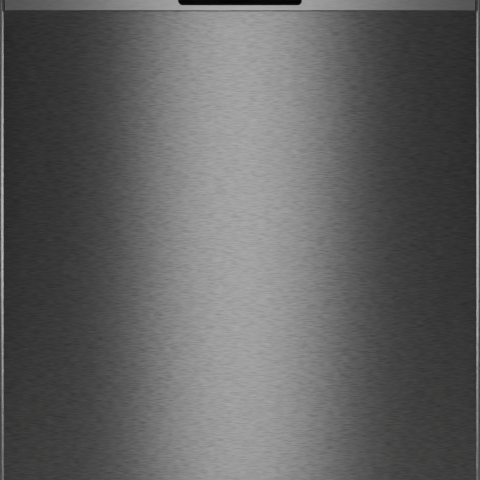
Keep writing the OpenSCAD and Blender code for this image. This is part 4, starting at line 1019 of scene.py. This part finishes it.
# --- Door's inner panel ---------------------------------------------------------------------------
# The inner side is one drawn stainless pan: a flat rim that meets the seal, a wall with rolled corners that
# fills the tub's mouth, and a face with one pressed step round it. The dispenser sits in a square opening.
door_steel = rolled_stainless("door_stainless", 0.6, 0.27, (14, 900, 900))
low, high = box_of("door_inner_panel")
rim_y, liner_y = high[1] - 24 * MM, high[1]
pan_x, pan_low, pan_high, pan_corner = 262 * MM, tub_floor + 3 * MM, tub_top - 9 * MM, 18 * MM
disp_low, disp_high = box_of("dispenser")
disp_edge = 5 * MM
strike_low = box_of("door_strike")[0]
pan_outline = round_outline((-pan_x, pan_low), (pan_x, pan_high), pan_corner, 10)
rim_outline = round_outline((low[0], low[2]), (high[0], high[2]), 3 * MM)
slot_half = 15 * MM
slot_outline = round_outline((-slot_half, strike_low[2] - 4.4 * MM), (slot_half, strike_low[2] + 3.4 * MM),
                             1 * MM)
rim_sheet = pressed_plate(rim_outline, [pan_outline, slot_outline], 0.2 * MM, 0.8 * MM,
                          lambda a, b, depth: (a, rim_y - depth, b))
wall_bend, face_step = 9 * MM, 1.6 * MM
rows = [(0, rim_y - 0.6 * MM)]
rows += [(wall_bend * (1 - math.cos(t)), liner_y - wall_bend * (1 - math.sin(t)))
         for t in np.linspace(0, math.pi / 2, 7)]
rows += [(wall_bend + 16 * MM, liner_y), (wall_bend + 17 * MM, liner_y - 0.3 * MM),
         (wall_bend + 20 * MM, liner_y - 1.3 * MM), (wall_bend + 21 * MM, liner_y - face_step)]
rings = [moved_out(pan_outline, -inset) for inset, y in rows]
pan_wall = (np.concatenate([np.column_stack([ring[:, 0], np.full(len(ring), y), ring[:, 1]])
                            for ring, (inset, y) in zip(rings, rows)]),
            grid_faces(len(rows), len(pan_outline), round_columns=True).tolist())
opening = round_outline((disp_low[0] + disp_edge, disp_low[2] + disp_edge),
                        (disp_high[0] - disp_edge, disp_high[2] - disp_edge), 1 * MM)
pan_face = pressed_plate(rings[-1], [opening], 1e-5, 0.8 * MM,
                         lambda a, b, depth: (a, liner_y - face_step - depth, b))
creased(facing_out(add_piece("door_pan_wall", *pan_wall, door_steel, "door_inner_panel"), (0, 1, 0)), 50)
face = add_piece("door_pan_face", *pan_face, door_steel, "door_inner_panel", replace=False)
flat_kept(creased(facing_out(face), 30))
rim = add_piece("door_rim_sheet", *rim_sheet, door_steel, "door_inner_panel", replace=False)
flat_kept(creased(facing_out(rim), 50))
back_y, front_y = rim_y - 0.7 * MM, rim_y - 16 * MM
returns = bars([(low[0], front_y, low[2]), (high[0] - 1 * MM, front_y, low[2])],
               [(low[0] + 1 * MM, back_y, high[2]), (high[0], back_y, high[2])])
softened(add_piece("door_rim_returns", *returns, door_steel, "door_inner_panel", replace=False), 0.25 * MM)

# --- Dispenser ------------------------------------------------------------------------------------
# A grey moulding with a detergent well under a flap that springs open on an upright pin, and a blue rinse
# aid cap beside it that lifts on its own hinge.
moulded("dispenser", moulded_plastic("dispenser_plastic", (0.3, 0.31, 0.325), 0.4), 0.8 * MM)
moulded("dispenser_lid", moulded_plastic("lid_plastic", (0.22, 0.225, 0.235), 0.34), 0.7 * MM)
moulded("rinse_aid_cap", moulded_plastic("cap_blue", (0.05, 0.14, 0.3), 0.36), 0.6 * MM)

# --- Hinges, springs, latch and screws ------------------------------------------------------------
# The door swings on two galvanised arms that turn on pins in the base brackets. A coil spring on each side
# carries its weight, a steel hook catches the strike, and pan-head screws hold the two door sheets.
for node in ("hinge_brackets", "hinge_arms"):
    moulded(node, zinc_sheet, 0.35 * MM)
for node in ("door_strike", "latch_hook"):
    moulded(node, rail_steel, 0.25 * MM)
moulded("control_module", black_plastic, 0.8 * MM)
spring_wire = Finish("spring_wire", (0.42, 0.42, 0.43), 1.0, 0.3)
drawn = spring_wire.noise(260, 4.0)
spring_wire.tint(drawn, (0.3, 0.3, 0.31), (0.52, 0.52, 0.53))
spring_wire.vary_roughness(drawn, 0.22, 0.42)


def coil(start, end, radius, wire_r, turns, per_turn=14):
    """A helix of round wire from start to end: its centre line turns at an even rate and rises evenly, less a
    small sine of the part covered, which draws the turns at both ends closer together."""
    start, end = np.array(start), np.array(end)
    length = np.linalg.norm(end - start)
    ahead = (end - start) / length
    across = np.array([1.0, 0, 0])
    up = np.cross(ahead, across)
    angle = np.linspace(0, 2 * math.pi * turns, int(turns * per_turn))
    part = angle / angle[-1]
    rise = length * (part - 0.018 * np.sin(2 * math.pi * part))
    out = np.cos(angle)[:, None] * across + np.sin(angle)[:, None] * up
    centre = start + rise[:, None] * ahead + radius * out
    ring = np.linspace(0, 2 * math.pi, 8, endpoint=False)
    points = (centre[:, None] + wire_r * (np.cos(ring)[None, :, None] * out[:, None]
                                          + np.sin(ring)[None, :, None] * ahead))
    return points.reshape(-1, 3), tube_faces(len(angle), len(ring))


low, high = box_of("door_springs")
spring_x, spring_tip = high[0] - 5.5 * MM, 4 * MM
parts = [coil((side * spring_x, low[1] + spring_tip, high[2] - spring_tip),
              (side * spring_x, high[1] - spring_tip, low[2] + spring_tip), 4.6 * MM, 0.85 * MM, 34)
         for side in (-1, 1)]
facing_out(add_piece("door_spring_coils", *joined(parts), spring_wire, "door_springs"))
moulded("door_screws", rail_steel, 0.5 * MM)

# --- Door's outer panel ---------------------------------------------------------------------------
# One dark steel sheet, brushed along its width and folded back round all four edges. The two upright
# folds are rolled to a 3 mm radius; the top and bottom ones are tighter. The bottom fold stops short of
# the hinge brackets, which it would meet as the door opens.
def brushed_dark_steel(name, shade, contrast, roughness, anisotropic, fine):
    """Dark steel with fine streaks along X: long thin noise in the colour and the surface."""
    steel = Finish(name, (0.2, 0.2, 0.2), 1.0, roughness, anisotropic=anisotropic, anisotropic_rotation=0.25)
    streak = steel.noise(1.0, 2.0, (95, 95, fine))
    steel.tint(steel.spread(streak), (shade - contrast,) * 3, (shade + contrast,) * 3)
    steel.bump(steel.noise(1.0, 1.0, (60, 60, 1.3 * fine)), 0.000008)
    return steel.grain_along_u()


panel_steel = brushed_dark_steel("brushed_dark_door", 0.15, 0.04, 0.377, 1.0, 1300)
side_bend, end_bend, fold = 3 * MM, 1.2 * MM, 20 * MM
end_fold, grid_steps = 0.8 * fold, 24
relief_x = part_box("base_pan")[1][0] - 1 * MM
columns_x = np.sort([*np.linspace(door_low[0], door_high[0], grid_steps), -relief_x, relief_x])
across = folded_edge(columns_x, side_bend, fold, fold)
upward = folded_edge(np.linspace(door_low[2], door_high[2], grid_steps), end_bend, end_fold, end_fold)
skin, faces, run = folded_sheet(across, upward, fold)
points = np.stack([skin[0], door_low[1] + skin[2], skin[1]], -1).reshape(-1, 3)
corners = points[faces]
in_low_fold = corners[..., 2].max(axis=1) < door_low[2] + 1e-6
past_relief = np.abs(corners[..., 0]).min(axis=1) > relief_x - 1e-6
faces = faces[~(in_low_fold & past_relief)]
door_panel = add_piece("brushed_door_panel", points, faces, panel_steel, "door_outer_panel",
                       np.stack([run, skin[1]], -1).reshape(-1, 2))
thicken(facing_out(door_panel, (0, -1, 0)), 0.9 * MM)

# --- Fascia ---------------------------------------------------------------------------------------
# A brushed steel cover with openings for the grip, the display and the keys, over a moulded carrier.
# The carrier shows as an upright strip at each end, past a narrow groove.
fascia_steel = brushed_dark_steel("brushed_dark_fascia", 0.27, 0.022, 0.43, 0.85, 700)
cover_low, cover_high = box_of("fascia_cover")
grip_sill, grip_height, grip_width = 6.3 * MM, 45 * MM, 154.5 * MM
grip_z = cover_low[2] + grip_sill
grip_outline = round_outline((-grip_width / 2, grip_z), (grip_width / 2, grip_z + grip_height), 6 * MM, 8)
glass_low, glass_high = box_of("display_window")
glass_gap = 0.3 * MM
glass_outline = round_outline((glass_low[0] - glass_gap, glass_low[2] - glass_gap),
                              (glass_high[0] + glass_gap, glass_high[2] + glass_gap), 3.2 * MM)
keys = {node: box_of(node) for node in ("power_button", "start_button", "program_button")}
key_margin = 0.4 * MM
key_outlines = [round_outline((low[0] - key_margin, low[2] - key_margin),
                              (high[0] + key_margin, high[2] + key_margin), 2.4 * MM)
                for low, high in keys.values()]
cover_outline = round_outline((cover_low[0], cover_low[2]), (cover_high[0], cover_high[2]), 0.6 * MM, 3)
points, faces = pressed_plate(cover_outline, [grip_outline, glass_outline, *key_outlines], 0.25 * MM,
                              cover_high[1] - cover_low[1], lambda a, b, depth: (a, cover_low[1] + depth, b))
fascia_cover = add_piece("brushed_fascia", points, faces, fascia_steel, "fascia_cover", points[:, [0, 2]])
facing_out(fascia_cover)
flat_kept(creased(fascia_cover, 50))
moulded("fascia_body", moulded_plastic("fascia_strip_plastic", (0.028, 0.028, 0.029), 0.42), 0.7 * MM)

# --- Grip cup and display -------------------------------------------------------------------------
# The pocket grip is a matt black moulding clipped in behind the opening, with a taller finger room inside;
# its colour is darker than black plastic's own, as painted shade of the pocket. The display is a smoked
# glossy window set just below the steel.
# Painted shade: the near-zero colour is partly the black moulding's own and partly the shade inside the
# pocket.
pocket_black_and_shade = moulded_plastic("grip_black_and_painted_shade", (0.004, 0.004, 0.0045), 0.55, specular_ior_level=0.12)
moulded("handle_cup", pocket_black_and_shade, 0.5 * MM)


def smoked_window(name):
    """Dark polished plastic: a clear coat over black, with faint haze and hairlines in its gloss."""
    window = Finish(name, (0.006, 0.006, 0.007), 0.0, 0.09, coat_weight=0.6, coat_roughness=0.04)
    window.tint(window.noise(12, 3.0), (0.004, 0.004, 0.005), (0.009, 0.009, 0.011))
    hairlines = window.noise(60, 5.0, (1, 1, 24))
    window.vary_roughness(hairlines, 0.06, 0.16)
    return window.bump(hairlines, 0.000003)


moulded("display_window", smoked_window("smoked_glass"), 0.4 * MM)

# --- Keys -----------------------------------------------------------------------------------------
# Three push keys stand a little proud of the steel. Each is a dark satin cap with a shallow dished face
# and a small light bar let into it.
key_satin = moulded_plastic("key_satin", (0.05, 0.05, 0.052), 0.36)
key_lamp = moulded_plastic("key_lamp_lens", (0.62, 0.63, 0.62), 0.3)
lens_half_x, lens_half_z = 3 * MM, 0.6 * MM
for node, (low, high) in keys.items():
    cap = dished_cap(low, high, 2 * MM, 0.8 * MM, 0.25 * MM)
    creased(facing_out(add_piece(node + "_cap", *cap, key_satin, node)), 60)
    middle = (low + high) / 2
    lens_outline = round_outline((middle[0] - lens_half_x, middle[2] - lens_half_z),
                                 (middle[0] + lens_half_x, middle[2] + lens_half_z), 0.5 * MM, 4)
    front = low[1] + 0.12 * MM
    lens = pressed_plate(lens_outline, [], 0.15 * MM, 0.5 * MM, lambda a, b, depth: (a, front + depth, b))
    facing_out(add_piece(node + "_lamp", *lens, key_lamp, node, replace=False))
